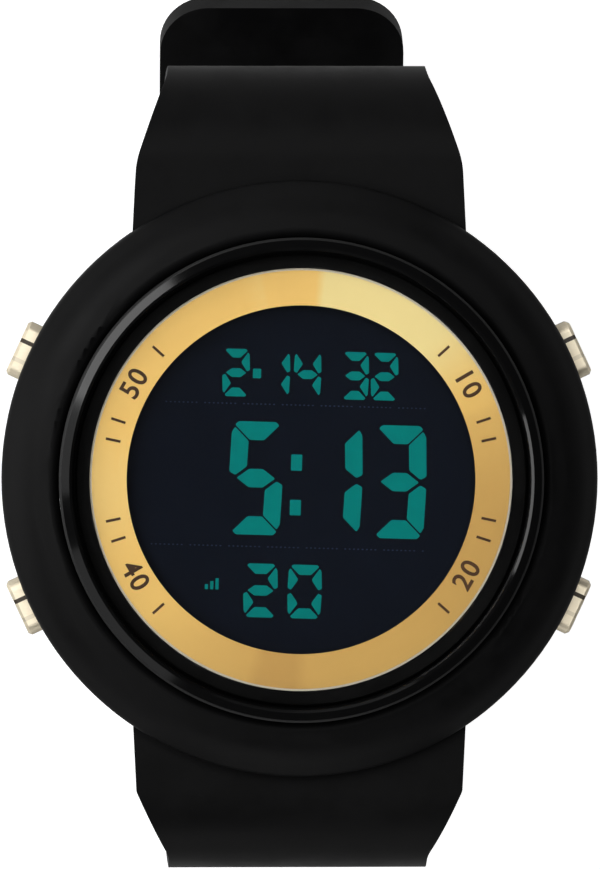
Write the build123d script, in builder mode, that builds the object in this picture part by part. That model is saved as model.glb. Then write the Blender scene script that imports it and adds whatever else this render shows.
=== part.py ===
from build123d import *
import os
from math import cos, degrees, radians, sin

# Round digital watch, buckled, with its strap closed in a loop under the case.
# Millimetres. Origin: centre of the case back's outer face.
# +Z out of the dial, +Y towards 12 o'clock, +X towards 3 o'clock.

os.makedirs("parts", exist_ok=True)

# One overrun for cuts, one small gap for pieces that are laid face to face.
overrun = 1.0
seat_gap = 0.05

# Case and silicone ring, in plan, from the outside inwards.
ring_outer_r = 25.0
ring_width = 4.65
ring_fit = 0.15
bezel_width = 1.25
crystal_fit = 0.1
crystal_ledge_width = 1.2
dial_ring_width = 3.1
dial_ring_fit = 0.1
lip_setback = 0.25
case_wall = 4.3

# Case and silicone ring, in height.
back_raised = 0.5
back_flange = 1.0
lip_thickness = 0.4
dial_ring_thickness = 0.8
crystal_ledge_drop = 0.2
gasket_thickness = 0.3
crystal_thickness = 1.4
crystal_recess = 0.1
bezel_rise = 0.75
bezel_slope_width = 0.7
bezel_slope_rise = 0.33
bezel_outer_bevel = 0.14
bezel_inner_bevel = 0.22
ring_base_z = 1.2
ring_top_z = 11.7
ring_crown_r = 3.3
ring_base_r = 1.6
ring_lip_r = 0.8
case_foot_chamfer = 0.5

# Module stack, from the case back upwards.
buzzer_room = 1.1
battery_thickness = 2.5
battery_setback = 5.7
component_room = 1.5
board_thickness = 0.7
light_panel_thickness = 0.6
polariser_thickness = 0.2
glass_thickness = 0.7
glass_setback = 0.7
glass_fit = 0.1
module_fit = 0.2

# Strap.
strap_root_width = 28.0
strap_width = 21.8
strap_top_z = 7.6
strap_root_z = 1.8
strap_thickness = 2.6
tail_thickness = 2.4
strap_lean = 14.0
strap_root_depth = 10.5
layer_gap = 0.1
loop_foot_z = -45.0
short_bend_reach = 1.55
short_bend_r = 8.2
short_corner_r = 14.0
long_bend_reach = 1.3
long_bend_r = 6.9
long_corner_r = 15.0
gusset_reach = 0.6
gusset_turn = 45.0
root_draft = 0.3
short_taper_start = 0.0
short_taper_length = 8.4
short_shoulder_r = 7.0
short_neck_r = 6.0
long_taper_start = 0.0
long_taper_length = 6.2
long_shoulder_r = 0.8
long_neck_r = 3.0
taper_dip = 12.0
taper_lead = 6.0
narrow_z = -20.0

# Strap tail, beyond the keepers.
tail_rise_y = 21.3
tail_rise_r = 40.0
tail_rise_angle = 22.0
tail_end_r = 60.0
tail_end_angle = 4.6
tail_tip_corner_r = 4.3

# Strap holes.
hole_length = 6.0
hole_width = 2.6
hole_pitch = 8.0
hole_y = 0.2
hole_corner_r = 0.6
holes_towards_case = 1
holes_on_flat = 2
holes_on_rise = 2

# Lugs and strap bars.
lug_setout = 2.1
lug_z = 4.6
lug_inner_x = 9.15
lug_thickness = 2.75
lug_reach = 2.0
lug_depth = 4.7
lug_half_height = 2.2
lug_fit = 0.15
strap_bar_r = 0.9
strap_bar_tip_r = 0.5
strap_bar_tip_length = 1.5
bar_fit = 0.05

# Buckle and keepers.
pivot_y = 1.0
boss_r = 2.2
buckle_bar_r = 0.9
buckle_side_fit = 0.4
buckle_arm_width = 2.1
buckle_arm_r = 1.6
buckle_length = 13.1
crossbar_width = 2.5
crossbar_gap = 0.15
crossbar_notch_depth = 1.0
buckle_corner_r = 1.8
tongue_notch_fit = 0.15
tongue_tip_overhang = 0.3
bar_seat_depth = 1.3
tongue_width = 2.2
tongue_thickness = 1.1
tongue_tip_thickness = 0.85
tongue_eye_r = 1.5
tongue_kink_angle = 60.0
tongue_slot_fit = 0.2
keeper_fit = 0.2
keeper_outer_wall = 1.7
keeper_inner_wall = 1.2
keeper_side_wall = 1.4
keeper_width = 4.4
keeper_corner_r = 1.3
fixed_keeper_setback = 5.0
free_keeper_pitch = 7.2
free_keeper_clear = 0.2

# Pushers: four, symmetrical about the 12-6 line and the 3-9 line.
pusher_angle = 25.0
pusher_names = ["upper_right", "upper_left", "lower_left", "lower_right"]
pusher_angles = [pusher_angle, 180 - pusher_angle, 180 + pusher_angle, -pusher_angle]
pusher_z = 5.4
pusher_length = 4.9
pusher_height = 3.6
pusher_stand = 1.1
pusher_corner_r = 0.9
pusher_edge = 0.25
pusher_hole_fit = 0.1
pusher_travel = 0.7
travel_spare = 0.1
groove_width = 0.35
groove_depth = 0.3
groove_place_shares = [0.36, 0.70]
stem_r = 0.6
tube_r = 1.15
tube_fit = 0.05
tube_inset = 0.05
stem_overhang = 1.1
clip_r = 1.1
clip_thickness = 0.25
clip_neck_r = 0.42
clip_gap = 0.5
spring_wire = 0.28
spring_mean_r = 1.05
spring_pocket_r = 1.6
spring_pocket_depth = 2.4
spring_turns = 4.5
spring_end_gap = 0.04
seal_centre_r = 0.8
seal_section_r = 0.14
seal_room = 0.35

# Heights that follow from the stack.
back_inner_z = back_raised + back_flange
module_base_z = back_inner_z + buzzer_room
battery_top_z = module_base_z + battery_thickness
board_z = battery_top_z + component_room
board_top_z = board_z + board_thickness
light_panel_z = board_top_z + seat_gap
rear_polariser_z = light_panel_z + light_panel_thickness + seat_gap
rear_glass_z = rear_polariser_z + polariser_thickness
front_glass_z = rear_glass_z + glass_thickness + seat_gap
front_polariser_z = front_glass_z + glass_thickness
lip_z = front_polariser_z + polariser_thickness + seat_gap
dial_ring_z = lip_z + lip_thickness
dial_ring_top_z = dial_ring_z + dial_ring_thickness
gasket_z = dial_ring_top_z - crystal_ledge_drop
crystal_z = gasket_z + gasket_thickness
crystal_top_z = crystal_z + crystal_thickness
bezel_inner_z = crystal_top_z + crystal_recess
bezel_top_z = bezel_inner_z + bezel_rise

# Plan sizes that follow.
ring_inner_r = ring_outer_r - ring_width
case_r = ring_inner_r - ring_fit
pocket_inner_r = case_r - bezel_width
crystal_r = pocket_inner_r - crystal_fit
dial_ring_r = crystal_r - crystal_ledge_width
seat_inner_r = dial_ring_r + dial_ring_fit
dial_aperture_r = dial_ring_r - dial_ring_width
lip_inner_r = dial_aperture_r + lip_setback
cavity_r = case_r - case_wall
module_r = cavity_r - module_fit
glass_r = module_r - glass_setback
glass_pocket_r = glass_r + glass_fit
battery_r = module_r - battery_setback
lug_y = case_r + lug_setout
lug_foot_y = case_r - lug_depth
strap_root_in_y = ring_outer_r - strap_root_depth
gusset_y = ring_outer_r + gusset_reach
short_bend_y = ring_outer_r + short_bend_reach
long_bend_y = ring_outer_r + long_bend_reach
fixed_keeper_y = pivot_y + fixed_keeper_setback
free_keeper_y = fixed_keeper_y + free_keeper_pitch

# Buckle area: flat levels from the foot of the loop upwards.
tail_under_z = loop_foot_z + keeper_outer_wall + keeper_fit
tail_over_z = tail_under_z + tail_thickness
short_under_z = tail_over_z + layer_gap
short_over_z = short_under_z + strap_thickness
pivot_z = short_under_z + boss_r
bar_bore_r = buckle_bar_r + bar_fit
boss_slot_width = tongue_width + 2 * tongue_slot_fit
frame_inner_x = strap_width / 2 + buckle_side_fit
frame_outer_x = frame_inner_x + buckle_arm_width
crossbar_y = pivot_y - buckle_length
crossbar_top_z = tail_under_z - crossbar_gap


def strap_side_outline(side, bend_y, bend_r, corner_r, thickness, under_z, end_y):
    """Closed side outline of one strap, of even thickness, from its root to the flat stretch."""
    fall = strap_top_z - bend_r - under_z
    side_r = (fall - corner_r * (1 - sin(radians(strap_lean)))) / sin(radians(strap_lean))
    outer_root = Line((side * strap_root_in_y, strap_top_z), (side * bend_y, strap_top_z))
    outer_bend = JernArc(outer_root @ 1, outer_root % 1, bend_r, -side * 90)
    outer_side = JernArc(outer_bend @ 1, outer_bend % 1, side_r, -side * strap_lean)
    outer_corner = JernArc(outer_side @ 1, outer_side % 1, corner_r, -side * (90 - strap_lean))
    outer_flat = Line(outer_corner @ 1, (end_y, under_z))
    inner_top_z = strap_top_z - thickness
    inner_root = Line((side * strap_root_in_y, inner_top_z), (side * bend_y, inner_top_z))
    inner_bend = JernArc(inner_root @ 1, inner_root % 1, bend_r - thickness, -side * 90)
    inner_side = JernArc(inner_bend @ 1, inner_bend % 1, side_r - thickness, -side * strap_lean)
    inner_corner = JernArc(
        inner_side @ 1, inner_side % 1, corner_r - thickness, -side * (90 - strap_lean)
    )
    inner_flat = Line(inner_corner @ 1, (end_y, under_z + thickness))
    Line(outer_root @ 0, inner_root @ 0)
    Line(outer_flat @ 1, inner_flat @ 1)


def strap_gusset(side, bend_y, bend_r, thickness):
    """Thick root of a strap, between the case and the bend."""
    mid_r = bend_r - thickness / 2
    centre_z = strap_top_z - bend_r
    reach = bend_y + bend_r - thickness
    along = mid_r * sin(radians(gusset_turn))
    above = mid_r * cos(radians(gusset_turn))
    Polyline(
        (side * strap_root_in_y, strap_top_z),
        (side * strap_root_in_y, strap_root_z),
        (side * gusset_y, strap_root_z),
        (side * reach, centre_z - thickness / 2),
        (side * (reach + thickness / 2), centre_z - thickness / 2),
        (side * (bend_y + along), centre_z + above),
        (side * bend_y, strap_top_z),
        close=True,
    )


def shoulder_plane(side, bend_y):
    """Plane across a strap's bend: X across the strap, Y down its length, Z out of its face."""
    return Plane(
        origin=(0, side * bend_y, strap_top_z),
        x_dir=(1, 0, 0),
        z_dir=(0, sin(radians(taper_dip)), side * cos(radians(taper_dip))),
    )


def shoulder_cut_outline(hand, start, length, shoulder_r, neck_r):
    """What is taken off one edge of a strap where it narrows below its root."""
    wide = hand * strap_root_width / 2
    outside = wide + hand * overrun
    shoulder = wide - hand * root_draft
    narrow = hand * strap_width / 2
    lead = start - taper_lead
    end = start + length
    far = end - narrow_z
    FilletPolyline(
        (wide, lead), (shoulder, start), (narrow, end), (narrow, far), radius=[shoulder_r, neck_r]
    )
    Polyline((narrow, far), (outside, far), (outside, lead), (wide, lead))


def radial_plane(angle, reach, height):
    """Plane square to a pusher's axis: X round the case, Z outwards."""
    return Plane(
        origin=(reach * cos(radians(angle)), reach * sin(radians(angle)), height),
        x_dir=(-sin(radians(angle)), cos(radians(angle)), 0),
        z_dir=(cos(radians(angle)), sin(radians(angle)), 0),
    )


def tail_place(distance):
    """Plane on the tail's inner face, a given way past the start of its rise: Y along it."""
    rise_length = tail_rise_r * radians(tail_rise_angle)
    turn = degrees(min(distance, rise_length) / tail_rise_r)
    y = tail_rise_y + tail_rise_r * sin(radians(turn))
    z = tail_over_z + tail_rise_r * (1 - cos(radians(turn)))
    return Plane(
        origin=(0, y, z),
        x_dir=(1, 0, 0),
        z_dir=(0, -sin(radians(turn)), cos(radians(turn))),
    )


def keep(piece, name):
    """Label a finished piece and write it to its file."""
    piece.label = name
    export_step(piece, f"parts/{name}.step")


# Case: hard shell with the bezel, the crystal's seat, the lip over the display and four lugs.
screw_count = 4
screw_start_angle = 45.0
screw_inset = 1.0
screw_r = 0.48
screw_bore_r = 0.5
screw_head_r = 0.8
screw_head_depth = 0.45
screw_recess_depth = 0.5
screw_length = 3.8
flange_inset = 1.7
flange_fit = 0.1
seal_groove_setout = 0.2
seal_groove_width = 0.75
seal_groove_depth = 0.62
flange_r = case_r - flange_inset
screw_circle_r = flange_r - screw_inset
seal_groove_inner_r = cavity_r + seal_groove_setout
seal_groove_outer_r = seal_groove_inner_r + seal_groove_width
slope_outer_r = case_r - bezel_outer_bevel
slope_inner_r = slope_outer_r - bezel_slope_width
slope_foot_z = bezel_top_z - bezel_slope_rise

with BuildPart() as case_body:
    with BuildSketch(Plane.XZ):
        with BuildLine():
            Polyline(
                (flange_r + flange_fit, back_raised),
                (case_r - case_foot_chamfer, back_raised),
                (case_r, back_raised + case_foot_chamfer),
                (case_r, slope_foot_z - bezel_outer_bevel),
                (slope_outer_r, slope_foot_z),
                (slope_inner_r, bezel_top_z),
                (slope_inner_r - bezel_inner_bevel, bezel_top_z - bezel_inner_bevel),
                (pocket_inner_r, bezel_inner_z),
                (pocket_inner_r, gasket_z),
                (seat_inner_r, gasket_z),
                (seat_inner_r, dial_ring_z),
                (lip_inner_r, dial_ring_z),
                (lip_inner_r, lip_z),
                (cavity_r, lip_z),
                (cavity_r, back_inner_z),
                (seal_groove_inner_r, back_inner_z),
                (seal_groove_inner_r, back_inner_z + seal_groove_depth),
                (seal_groove_outer_r, back_inner_z + seal_groove_depth),
                (seal_groove_outer_r, back_inner_z),
                (flange_r + flange_fit, back_inner_z),
                close=True,
            )
        make_face()
    revolve(axis=Axis.Z)
    for side in [1, -1]:
        for hand in [1, -1]:
            with BuildSketch(Plane.YZ.offset(hand * lug_inner_x)):
                with BuildLine():
                    Polyline(
                        (side * lug_foot_y, lug_z - lug_half_height),
                        (side * (lug_y + lug_reach), lug_z - lug_half_height),
                        (side * (lug_y + lug_reach), lug_z + lug_half_height),
                        (side * lug_foot_y, lug_z + lug_half_height),
                        close=True,
                    )
                make_face()
            extrude(amount=hand * lug_thickness)
    for hand in [1, -1]:
        with BuildSketch(Plane.YZ.offset(hand * (lug_inner_x - overrun))):
            with Locations((lug_y, lug_z), (-lug_y, lug_z)):
                Circle(strap_bar_tip_r + bar_fit)
        extrude(amount=hand * (overrun + strap_bar_tip_length + bar_fit), mode=Mode.SUBTRACT)
    for angle in pusher_angles:
        with BuildSketch(radial_plane(angle, cavity_r - overrun, pusher_z)):
            Circle(tube_r)
        extrude(amount=case_r - cavity_r + 2 * overrun, mode=Mode.SUBTRACT)
    with BuildSketch(Plane.XY.offset(back_inner_z)):
        with PolarLocations(screw_circle_r, screw_count, start_angle=screw_start_angle):
            Circle(screw_bore_r)
    extrude(amount=screw_length - back_flange + screw_head_depth, mode=Mode.SUBTRACT)
keep(case_body.part, "case_body")

# Silicone ring round the case, with a mouth for each strap root and a hole for each pusher.
mouth_side_fit = 0.1
mouth_half_width = strap_root_width / 2 + mouth_side_fit
mouth_top_z = strap_top_z + layer_gap

with BuildPart() as outer_ring:
    with BuildSketch(Plane.XZ):
        with BuildLine():
            base = Line((ring_inner_r, ring_base_z), (ring_outer_r - ring_base_r, ring_base_z))
            base_round = JernArc(base @ 1, base % 1, ring_base_r, 90)
            wall = Line(base_round @ 1, (ring_outer_r, ring_top_z - ring_crown_r))
            crown = JernArc(wall @ 1, wall % 1, ring_crown_r, 90)
            top = Line(crown @ 1, (ring_inner_r + ring_lip_r, ring_top_z))
            lip = JernArc(top @ 1, top % 1, ring_lip_r, 90)
            Line(lip @ 1, base @ 0)
        make_face()
    revolve(axis=Axis.Z)
    with BuildSketch(Plane.XY.offset(ring_base_z - overrun)):
        with Locations((0, ring_outer_r), (0, -ring_outer_r)):
            Rectangle(2 * mouth_half_width, 2 * (ring_outer_r - strap_root_in_y))
    extrude(amount=mouth_top_z - ring_base_z + overrun, mode=Mode.SUBTRACT)
    for angle in pusher_angles:
        with BuildSketch(radial_plane(angle, case_r - overrun, pusher_z)):
            RectangleRounded(
                pusher_length + 2 * pusher_hole_fit,
                pusher_height + 2 * pusher_hole_fit,
                pusher_corner_r + pusher_hole_fit,
            )
        extrude(amount=ring_outer_r - case_r + 2 * overrun, mode=Mode.SUBTRACT)
keep(outer_ring.part, "outer_ring")

# Crystal, with a small bevel round its upper edge.
crystal_bevel = 0.3

with BuildPart() as crystal:
    with BuildSketch(Plane.XY.offset(crystal_z)):
        Circle(crystal_r)
    extrude(amount=crystal_thickness)
    chamfer(crystal.edges().group_by(Axis.Z)[-1], crystal_bevel)
keep(crystal.part, "crystal")

# Flat gasket under the crystal's rim.
with BuildPart() as crystal_gasket:
    with BuildSketch(Plane.XY.offset(gasket_z)):
        Circle(crystal_r)
        Circle(seat_inner_r + seat_gap, mode=Mode.SUBTRACT)
    extrude(amount=gasket_thickness)
keep(crystal_gasket.part, "crystal_gasket")

# Gold-coloured dial ring, bevelled inside and out.
dial_ring_bevel = 0.25

with BuildPart() as dial_ring:
    with BuildSketch(Plane.XY.offset(dial_ring_z)):
        Circle(dial_ring_r)
        Circle(dial_aperture_r, mode=Mode.SUBTRACT)
    extrude(amount=dial_ring_thickness)
    chamfer(dial_ring.edges().group_by(Axis.Z)[-1], dial_ring_bevel)
keep(dial_ring.part, "dial_ring")

# Case back: a flange let into the case and a raised centre that touches the wrist.
back_centre_inset = 2.9
back_centre_bevel = 0.3
back_centre_r = flange_r - back_centre_inset

with BuildPart() as case_back:
    with BuildSketch(Plane.XY.offset(back_raised)):
        Circle(flange_r)
    extrude(amount=back_flange)
    with BuildSketch():
        Circle(back_centre_r)
    extrude(amount=back_raised)
    chamfer(case_back.edges().group_by(Axis.Z)[0], back_centre_bevel)
    with BuildSketch(Plane.XY.offset(back_raised)):
        with PolarLocations(screw_circle_r, screw_count, start_angle=screw_start_angle):
            Circle(screw_head_r + flange_fit / 2)
    extrude(amount=screw_recess_depth, mode=Mode.SUBTRACT)
    with BuildSketch(Plane.XY.offset(back_raised)):
        with PolarLocations(screw_circle_r, screw_count, start_angle=screw_start_angle):
            Circle(screw_bore_r)
    extrude(amount=back_flange, mode=Mode.SUBTRACT)
keep(case_back.part, "case_back")

# Sealing ring between the case back and the case.
back_seal_r = (seal_groove_inner_r + seal_groove_outer_r) / 2
back_seal_section_r = 0.3

with BuildPart() as back_gasket:
    with BuildSketch(Plane.XZ):
        with Locations((back_seal_r, back_inner_z + back_seal_section_r)):
            Circle(back_seal_section_r)
    revolve(axis=Axis.Z)
keep(back_gasket.part, "back_gasket")

# Four slotted screws that hold the case back.
screw_slot_width = 0.3
screw_slot_depth = 0.2

with BuildPart() as back_screws:
    with BuildSketch(Plane.XY.offset(back_raised + screw_recess_depth - screw_head_depth)):
        with PolarLocations(screw_circle_r, screw_count, start_angle=screw_start_angle):
            Circle(screw_head_r)
    extrude(amount=screw_head_depth)
    with BuildSketch(Plane.XY.offset(back_raised + screw_recess_depth)):
        with PolarLocations(screw_circle_r, screw_count, start_angle=screw_start_angle):
            Circle(screw_r)
    extrude(amount=screw_length - screw_head_depth)
    with BuildSketch(Plane.XY.offset(back_raised + screw_recess_depth - screw_head_depth)):
        with PolarLocations(screw_circle_r, screw_count, start_angle=screw_start_angle):
            Rectangle(2 * screw_head_r, screw_slot_width)
    extrude(amount=screw_slot_depth, mode=Mode.SUBTRACT)
keep(back_screws.part, "back_screws")

# Display: two glass plates between two polarisers. The rear plate is cut back at 12 and 6
# o'clock, so that the front plate's contact ledges are bare.
ledge_depth = 2.1
ledge_y = glass_r - ledge_depth

with BuildPart() as front_polariser:
    with BuildSketch(Plane.XY.offset(front_polariser_z)):
        Circle(glass_r - glass_fit)
    extrude(amount=polariser_thickness)
keep(front_polariser.part, "front_polariser")

with BuildPart() as front_glass:
    with BuildSketch(Plane.XY.offset(front_glass_z)):
        Circle(glass_r)
    extrude(amount=glass_thickness)
keep(front_glass.part, "front_glass")

with BuildPart() as rear_glass:
    with BuildSketch(Plane.XY.offset(rear_glass_z)):
        Circle(glass_r)
        Rectangle(2 * glass_r, 2 * ledge_y, mode=Mode.INTERSECT)
    extrude(amount=glass_thickness)
keep(rear_glass.part, "rear_glass")

with BuildPart() as rear_polariser:
    with BuildSketch(Plane.XY.offset(rear_polariser_z)):
        Circle(glass_r - glass_fit)
        Rectangle(2 * glass_r, 2 * (ledge_y - glass_fit), mode=Mode.INTERSECT)
    extrude(amount=polariser_thickness)
keep(rear_polariser.part, "rear_polariser")

# Light panel behind the display.
with BuildPart() as light_panel:
    with BuildSketch(Plane.XY.offset(light_panel_z)):
        Circle(glass_r - glass_fit)
        Rectangle(2 * glass_r, 2 * (ledge_y - glass_fit), mode=Mode.INTERSECT)
    extrude(amount=light_panel_thickness)
keep(light_panel.part, "light_panel")

# Two elastomer strips that join the board to the display's contact ledges.
strip_width = 1.0
strip_length = 9.4
strip_y = ledge_y + seat_gap + strip_width / 2

with BuildPart() as connector_strips:
    with BuildSketch(Plane.XY.offset(board_top_z)):
        with Locations((0, strip_y), (0, -strip_y)):
            Rectangle(strip_length, strip_width)
    extrude(amount=front_glass_z - board_top_z)
keep(connector_strips.part, "connector_strips")

# Screws of the battery strap and well of the buzzer's spring, both let into the module frame.
clip_screw_setout = 2.4
clip_screw_r = 0.5
clip_screw_depth = 1.8
buzzer_spring_setout = 1.7
buzzer_spring_bore_r = 1.0
clip_screw_x = battery_r + clip_screw_setout
buzzer_spring_y = battery_r + buzzer_spring_setout

# Module frame: holds the board and display above, the battery below, cut away at each pusher.
board_ledge_width = 2.3
pusher_bay_width = 3.4
pusher_bay_depth = 2.8
board_ledge_r = module_r - board_ledge_width
pusher_bay_reach = module_r - pusher_bay_depth

with BuildPart() as module_frame:
    with BuildSketch(Plane.XY.offset(module_base_z)):
        Circle(module_r)
        Circle(battery_r + glass_fit, mode=Mode.SUBTRACT)
    extrude(amount=board_z - module_base_z)
    with BuildSketch(Plane.XY.offset(battery_top_z)):
        Circle(board_ledge_r)
    extrude(amount=component_room, mode=Mode.SUBTRACT)
    with BuildSketch(Plane.XY.offset(board_z)):
        Circle(module_r)
        Circle(glass_pocket_r, mode=Mode.SUBTRACT)
    extrude(amount=front_polariser_z - board_z)
    for angle in pusher_angles:
        with BuildSketch(radial_plane(angle, pusher_bay_reach, pusher_z)):
            Rectangle(pusher_bay_width, 2 * (board_z - pusher_z))
        extrude(amount=module_r - pusher_bay_reach + overrun, mode=Mode.SUBTRACT)
    with BuildSketch(Plane.XY.offset(module_base_z)):
        with Locations((clip_screw_x, 0), (-clip_screw_x, 0)):
            Circle(clip_screw_r)
    extrude(amount=clip_screw_depth, mode=Mode.SUBTRACT)
    with BuildSketch(Plane.XY.offset(module_base_z)):
        with Locations((0, buzzer_spring_y)):
            Circle(buzzer_spring_bore_r)
    extrude(amount=battery_thickness, mode=Mode.SUBTRACT)
keep(module_frame.part, "module_frame")

# Circuit board.
board_edge_fit = 0.05

with BuildPart() as circuit_board:
    with BuildSketch(Plane.XY.offset(board_z)):
        Circle(glass_pocket_r - board_edge_fit)
    extrude(amount=board_thickness)
keep(circuit_board.part, "circuit_board")

# Components under the board, in the room above the battery, set in from the frame's ledge.
chip_size = 4.6
chip_height = 1.0
chip_corner_r = 1.15
chip_bevel = 0.33
chip_setback = 3.4
crystal_can_r = 0.6
crystal_can_length = 5.0
crystal_can_x = -3.7
crystal_can_setback = 3.55
coil_r = 1.7
coil_height = 1.2
coil_setback = 2.55
coil_angle = 55.0
crystal_can_y = board_ledge_r - crystal_can_setback
coil_reach = board_ledge_r - coil_setback

with BuildPart() as timing_chip:
    with BuildSketch(Plane.XY.offset(board_z - chip_height)):
        with Locations((0, chip_setback - board_ledge_r)):
            RectangleRounded(chip_size, chip_size, chip_corner_r)
    extrude(amount=chip_height)
    chamfer(timing_chip.edges().group_by(Axis.Z)[0], chip_bevel)
keep(timing_chip.part, "timing_chip")

with BuildPart() as quartz_can:
    with BuildSketch(Plane.YZ.offset(crystal_can_x - crystal_can_length / 2)):
        with Locations((crystal_can_y, board_z - crystal_can_r - seat_gap)):
            Circle(crystal_can_r)
    extrude(amount=crystal_can_length)
keep(quartz_can.part, "quartz_can")

with BuildPart() as booster_coil:
    with BuildSketch(Plane.XY.offset(board_z - coil_height)):
        with PolarLocations(coil_reach, 1, start_angle=coil_angle):
            Circle(coil_r)
    extrude(amount=coil_height)
keep(booster_coil.part, "booster_coil")

# Four leaf contacts under the board's edge, one in front of each pusher's stem.
stem_end_r = cavity_r - stem_overhang
leaf_thickness = 0.2
leaf_width = 2.4
leaf_drop = 1.9
leaf_foot = 1.6
leaf_r = stem_end_r - pusher_travel - seat_gap - leaf_thickness

with BuildPart() as leaf_contacts:
    for angle in pusher_angles:
        with BuildSketch(radial_plane(angle, leaf_r, board_z - leaf_drop / 2)):
            Rectangle(leaf_width, leaf_drop)
        extrude(amount=leaf_thickness)
        with BuildSketch(radial_plane(angle, leaf_r - leaf_foot, board_z - leaf_thickness / 2)):
            Rectangle(leaf_width, leaf_thickness)
        extrude(amount=leaf_foot)
keep(leaf_contacts.part, "leaf_contacts")

# Battery, with a stepped rim.
battery_step = 0.6

with BuildPart() as battery:
    with BuildSketch(Plane.XY.offset(module_base_z)):
        Circle(battery_r)
    extrude(amount=battery_thickness)
    with BuildSketch(Plane.XY.offset(battery_top_z - battery_step)):
        Circle(battery_r)
        Circle(battery_r - battery_step, mode=Mode.SUBTRACT)
    extrude(amount=battery_step, mode=Mode.SUBTRACT)
keep(battery.part, "battery")

# Bowed strip that carries current from the battery's upper face to the board.
bow_length = 7.0
bow_width = 2.0
bow_thickness = 0.2
bow_foot = 1.2

with BuildPart() as battery_contact:
    with BuildSketch(Plane.XZ.offset(-bow_width / 2)):
        with BuildLine():
            Polyline(
                (-bow_length / 2, board_z),
                (bow_foot - bow_length / 2, board_z),
                (-bow_thickness, battery_top_z + bow_thickness),
                (bow_thickness, battery_top_z + bow_thickness),
                (bow_length / 2 - bow_foot, board_z),
                (bow_length / 2, board_z),
                (bow_length / 2, board_z - bow_thickness),
                (bow_length / 2 - bow_foot, board_z - bow_thickness),
                (bow_thickness, battery_top_z),
                (-bow_thickness, battery_top_z),
                (bow_foot - bow_length / 2, board_z - bow_thickness),
                (-bow_length / 2, board_z - bow_thickness),
                close=True,
            )
        make_face()
    extrude(amount=bow_width)
keep(battery_contact.part, "battery_contact")

# Steel strap across the battery's lower face, held by two screws in the module frame.
clip_strap_width = 6.0
clip_strap_overhang = 1.4
clip_strap_thickness = 0.25
clip_strap_corner_r = 2.0
clip_screw_head_r = 1.0
clip_screw_head_height = 0.3
clip_strap_length = 2 * (clip_screw_x + clip_strap_overhang)

with BuildPart() as battery_strap:
    with BuildSketch(Plane.XY.offset(module_base_z - clip_strap_thickness)):
        RectangleRounded(clip_strap_length, clip_strap_width, clip_strap_corner_r)
        with Locations((clip_screw_x, 0), (-clip_screw_x, 0)):
            Circle(clip_screw_r + seat_gap, mode=Mode.SUBTRACT)
    extrude(amount=clip_strap_thickness)
keep(battery_strap.part, "battery_strap")

with BuildPart() as module_screws:
    with BuildSketch(Plane.XY.offset(module_base_z - clip_strap_thickness)):
        with Locations((clip_screw_x, 0), (-clip_screw_x, 0)):
            Circle(clip_screw_r)
    extrude(amount=clip_strap_thickness + clip_screw_depth)
    with BuildSketch(Plane.XY.offset(module_base_z - clip_strap_thickness)):
        with Locations((clip_screw_x, 0), (-clip_screw_x, 0)):
            Circle(clip_screw_head_r)
    extrude(amount=-clip_screw_head_height)
keep(module_screws.part, "module_screws")

# Buzzer: a brass disc with a ceramic layer, laid inside the case back, and its contact spring.
buzzer_setback = 2.5
buzzer_thickness = 0.2
ceramic_setback = 0.8
ceramic_thickness = 0.15
buzzer_spring_wire = 0.22
buzzer_spring_r = 0.65
buzzer_spring_turns = 7
buzzer_r = cavity_r - buzzer_setback
ceramic_r = buzzer_r - ceramic_setback

with BuildPart() as buzzer_disc:
    with BuildSketch(Plane.XY.offset(back_inner_z)):
        Circle(buzzer_r)
    extrude(amount=buzzer_thickness)
keep(buzzer_disc.part, "buzzer_disc")

with BuildPart() as buzzer_ceramic:
    with BuildSketch(Plane.XY.offset(back_inner_z + buzzer_thickness)):
        Circle(ceramic_r)
    extrude(amount=ceramic_thickness)
keep(buzzer_ceramic.part, "buzzer_ceramic")

buzzer_spring_start_z = back_inner_z + buzzer_thickness + ceramic_thickness + buzzer_spring_wire / 2
buzzer_spring_height = board_z - buzzer_spring_start_z - buzzer_spring_wire / 2 - seat_gap

with BuildPart() as buzzer_spring:
    with BuildLine():
        buzzer_coil = Helix(
            pitch=buzzer_spring_height / buzzer_spring_turns,
            height=buzzer_spring_height,
            radius=buzzer_spring_r,
            center=(0, buzzer_spring_y, buzzer_spring_start_z + seat_gap / 2),
        )
    with BuildSketch(Plane(origin=buzzer_coil @ 0, z_dir=buzzer_coil % 0)):
        Circle(buzzer_spring_wire / 2)
    sweep(path=buzzer_coil, is_frenet=True)
keep(buzzer_spring.part, "buzzer_spring")

# Guide tubes pressed into the case, one round each pusher's stem, each with a seal inside.
tube_length = case_r - cavity_r - tube_inset
tube_start_r = cavity_r + tube_inset
tube_bore_r = stem_r + tube_fit
seal_place_r = (tube_start_r + case_r) / 2

with BuildPart() as guide_tubes:
    for angle in pusher_angles:
        with BuildSketch(radial_plane(angle, tube_start_r, pusher_z)):
            Circle(tube_r)
            Circle(tube_bore_r, mode=Mode.SUBTRACT)
        extrude(amount=tube_length)
        with BuildSketch(radial_plane(angle, seal_place_r - seal_room / 2, pusher_z)):
            Circle(seal_centre_r + seal_section_r)
        extrude(amount=seal_room, mode=Mode.SUBTRACT)
keep(guide_tubes.part, "guide_tubes")

with BuildPart() as stem_seals:
    for angle in pusher_angles:
        plane = radial_plane(angle, seal_place_r, pusher_z)
        with BuildSketch(Plane(origin=plane.origin, x_dir=plane.x_dir, z_dir=-plane.y_dir)):
            with Locations((seal_centre_r, 0)):
                Circle(seal_section_r)
        revolve(axis=Axis(plane.origin, plane.z_dir))
keep(stem_seals.part, "stem_seals")

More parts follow.
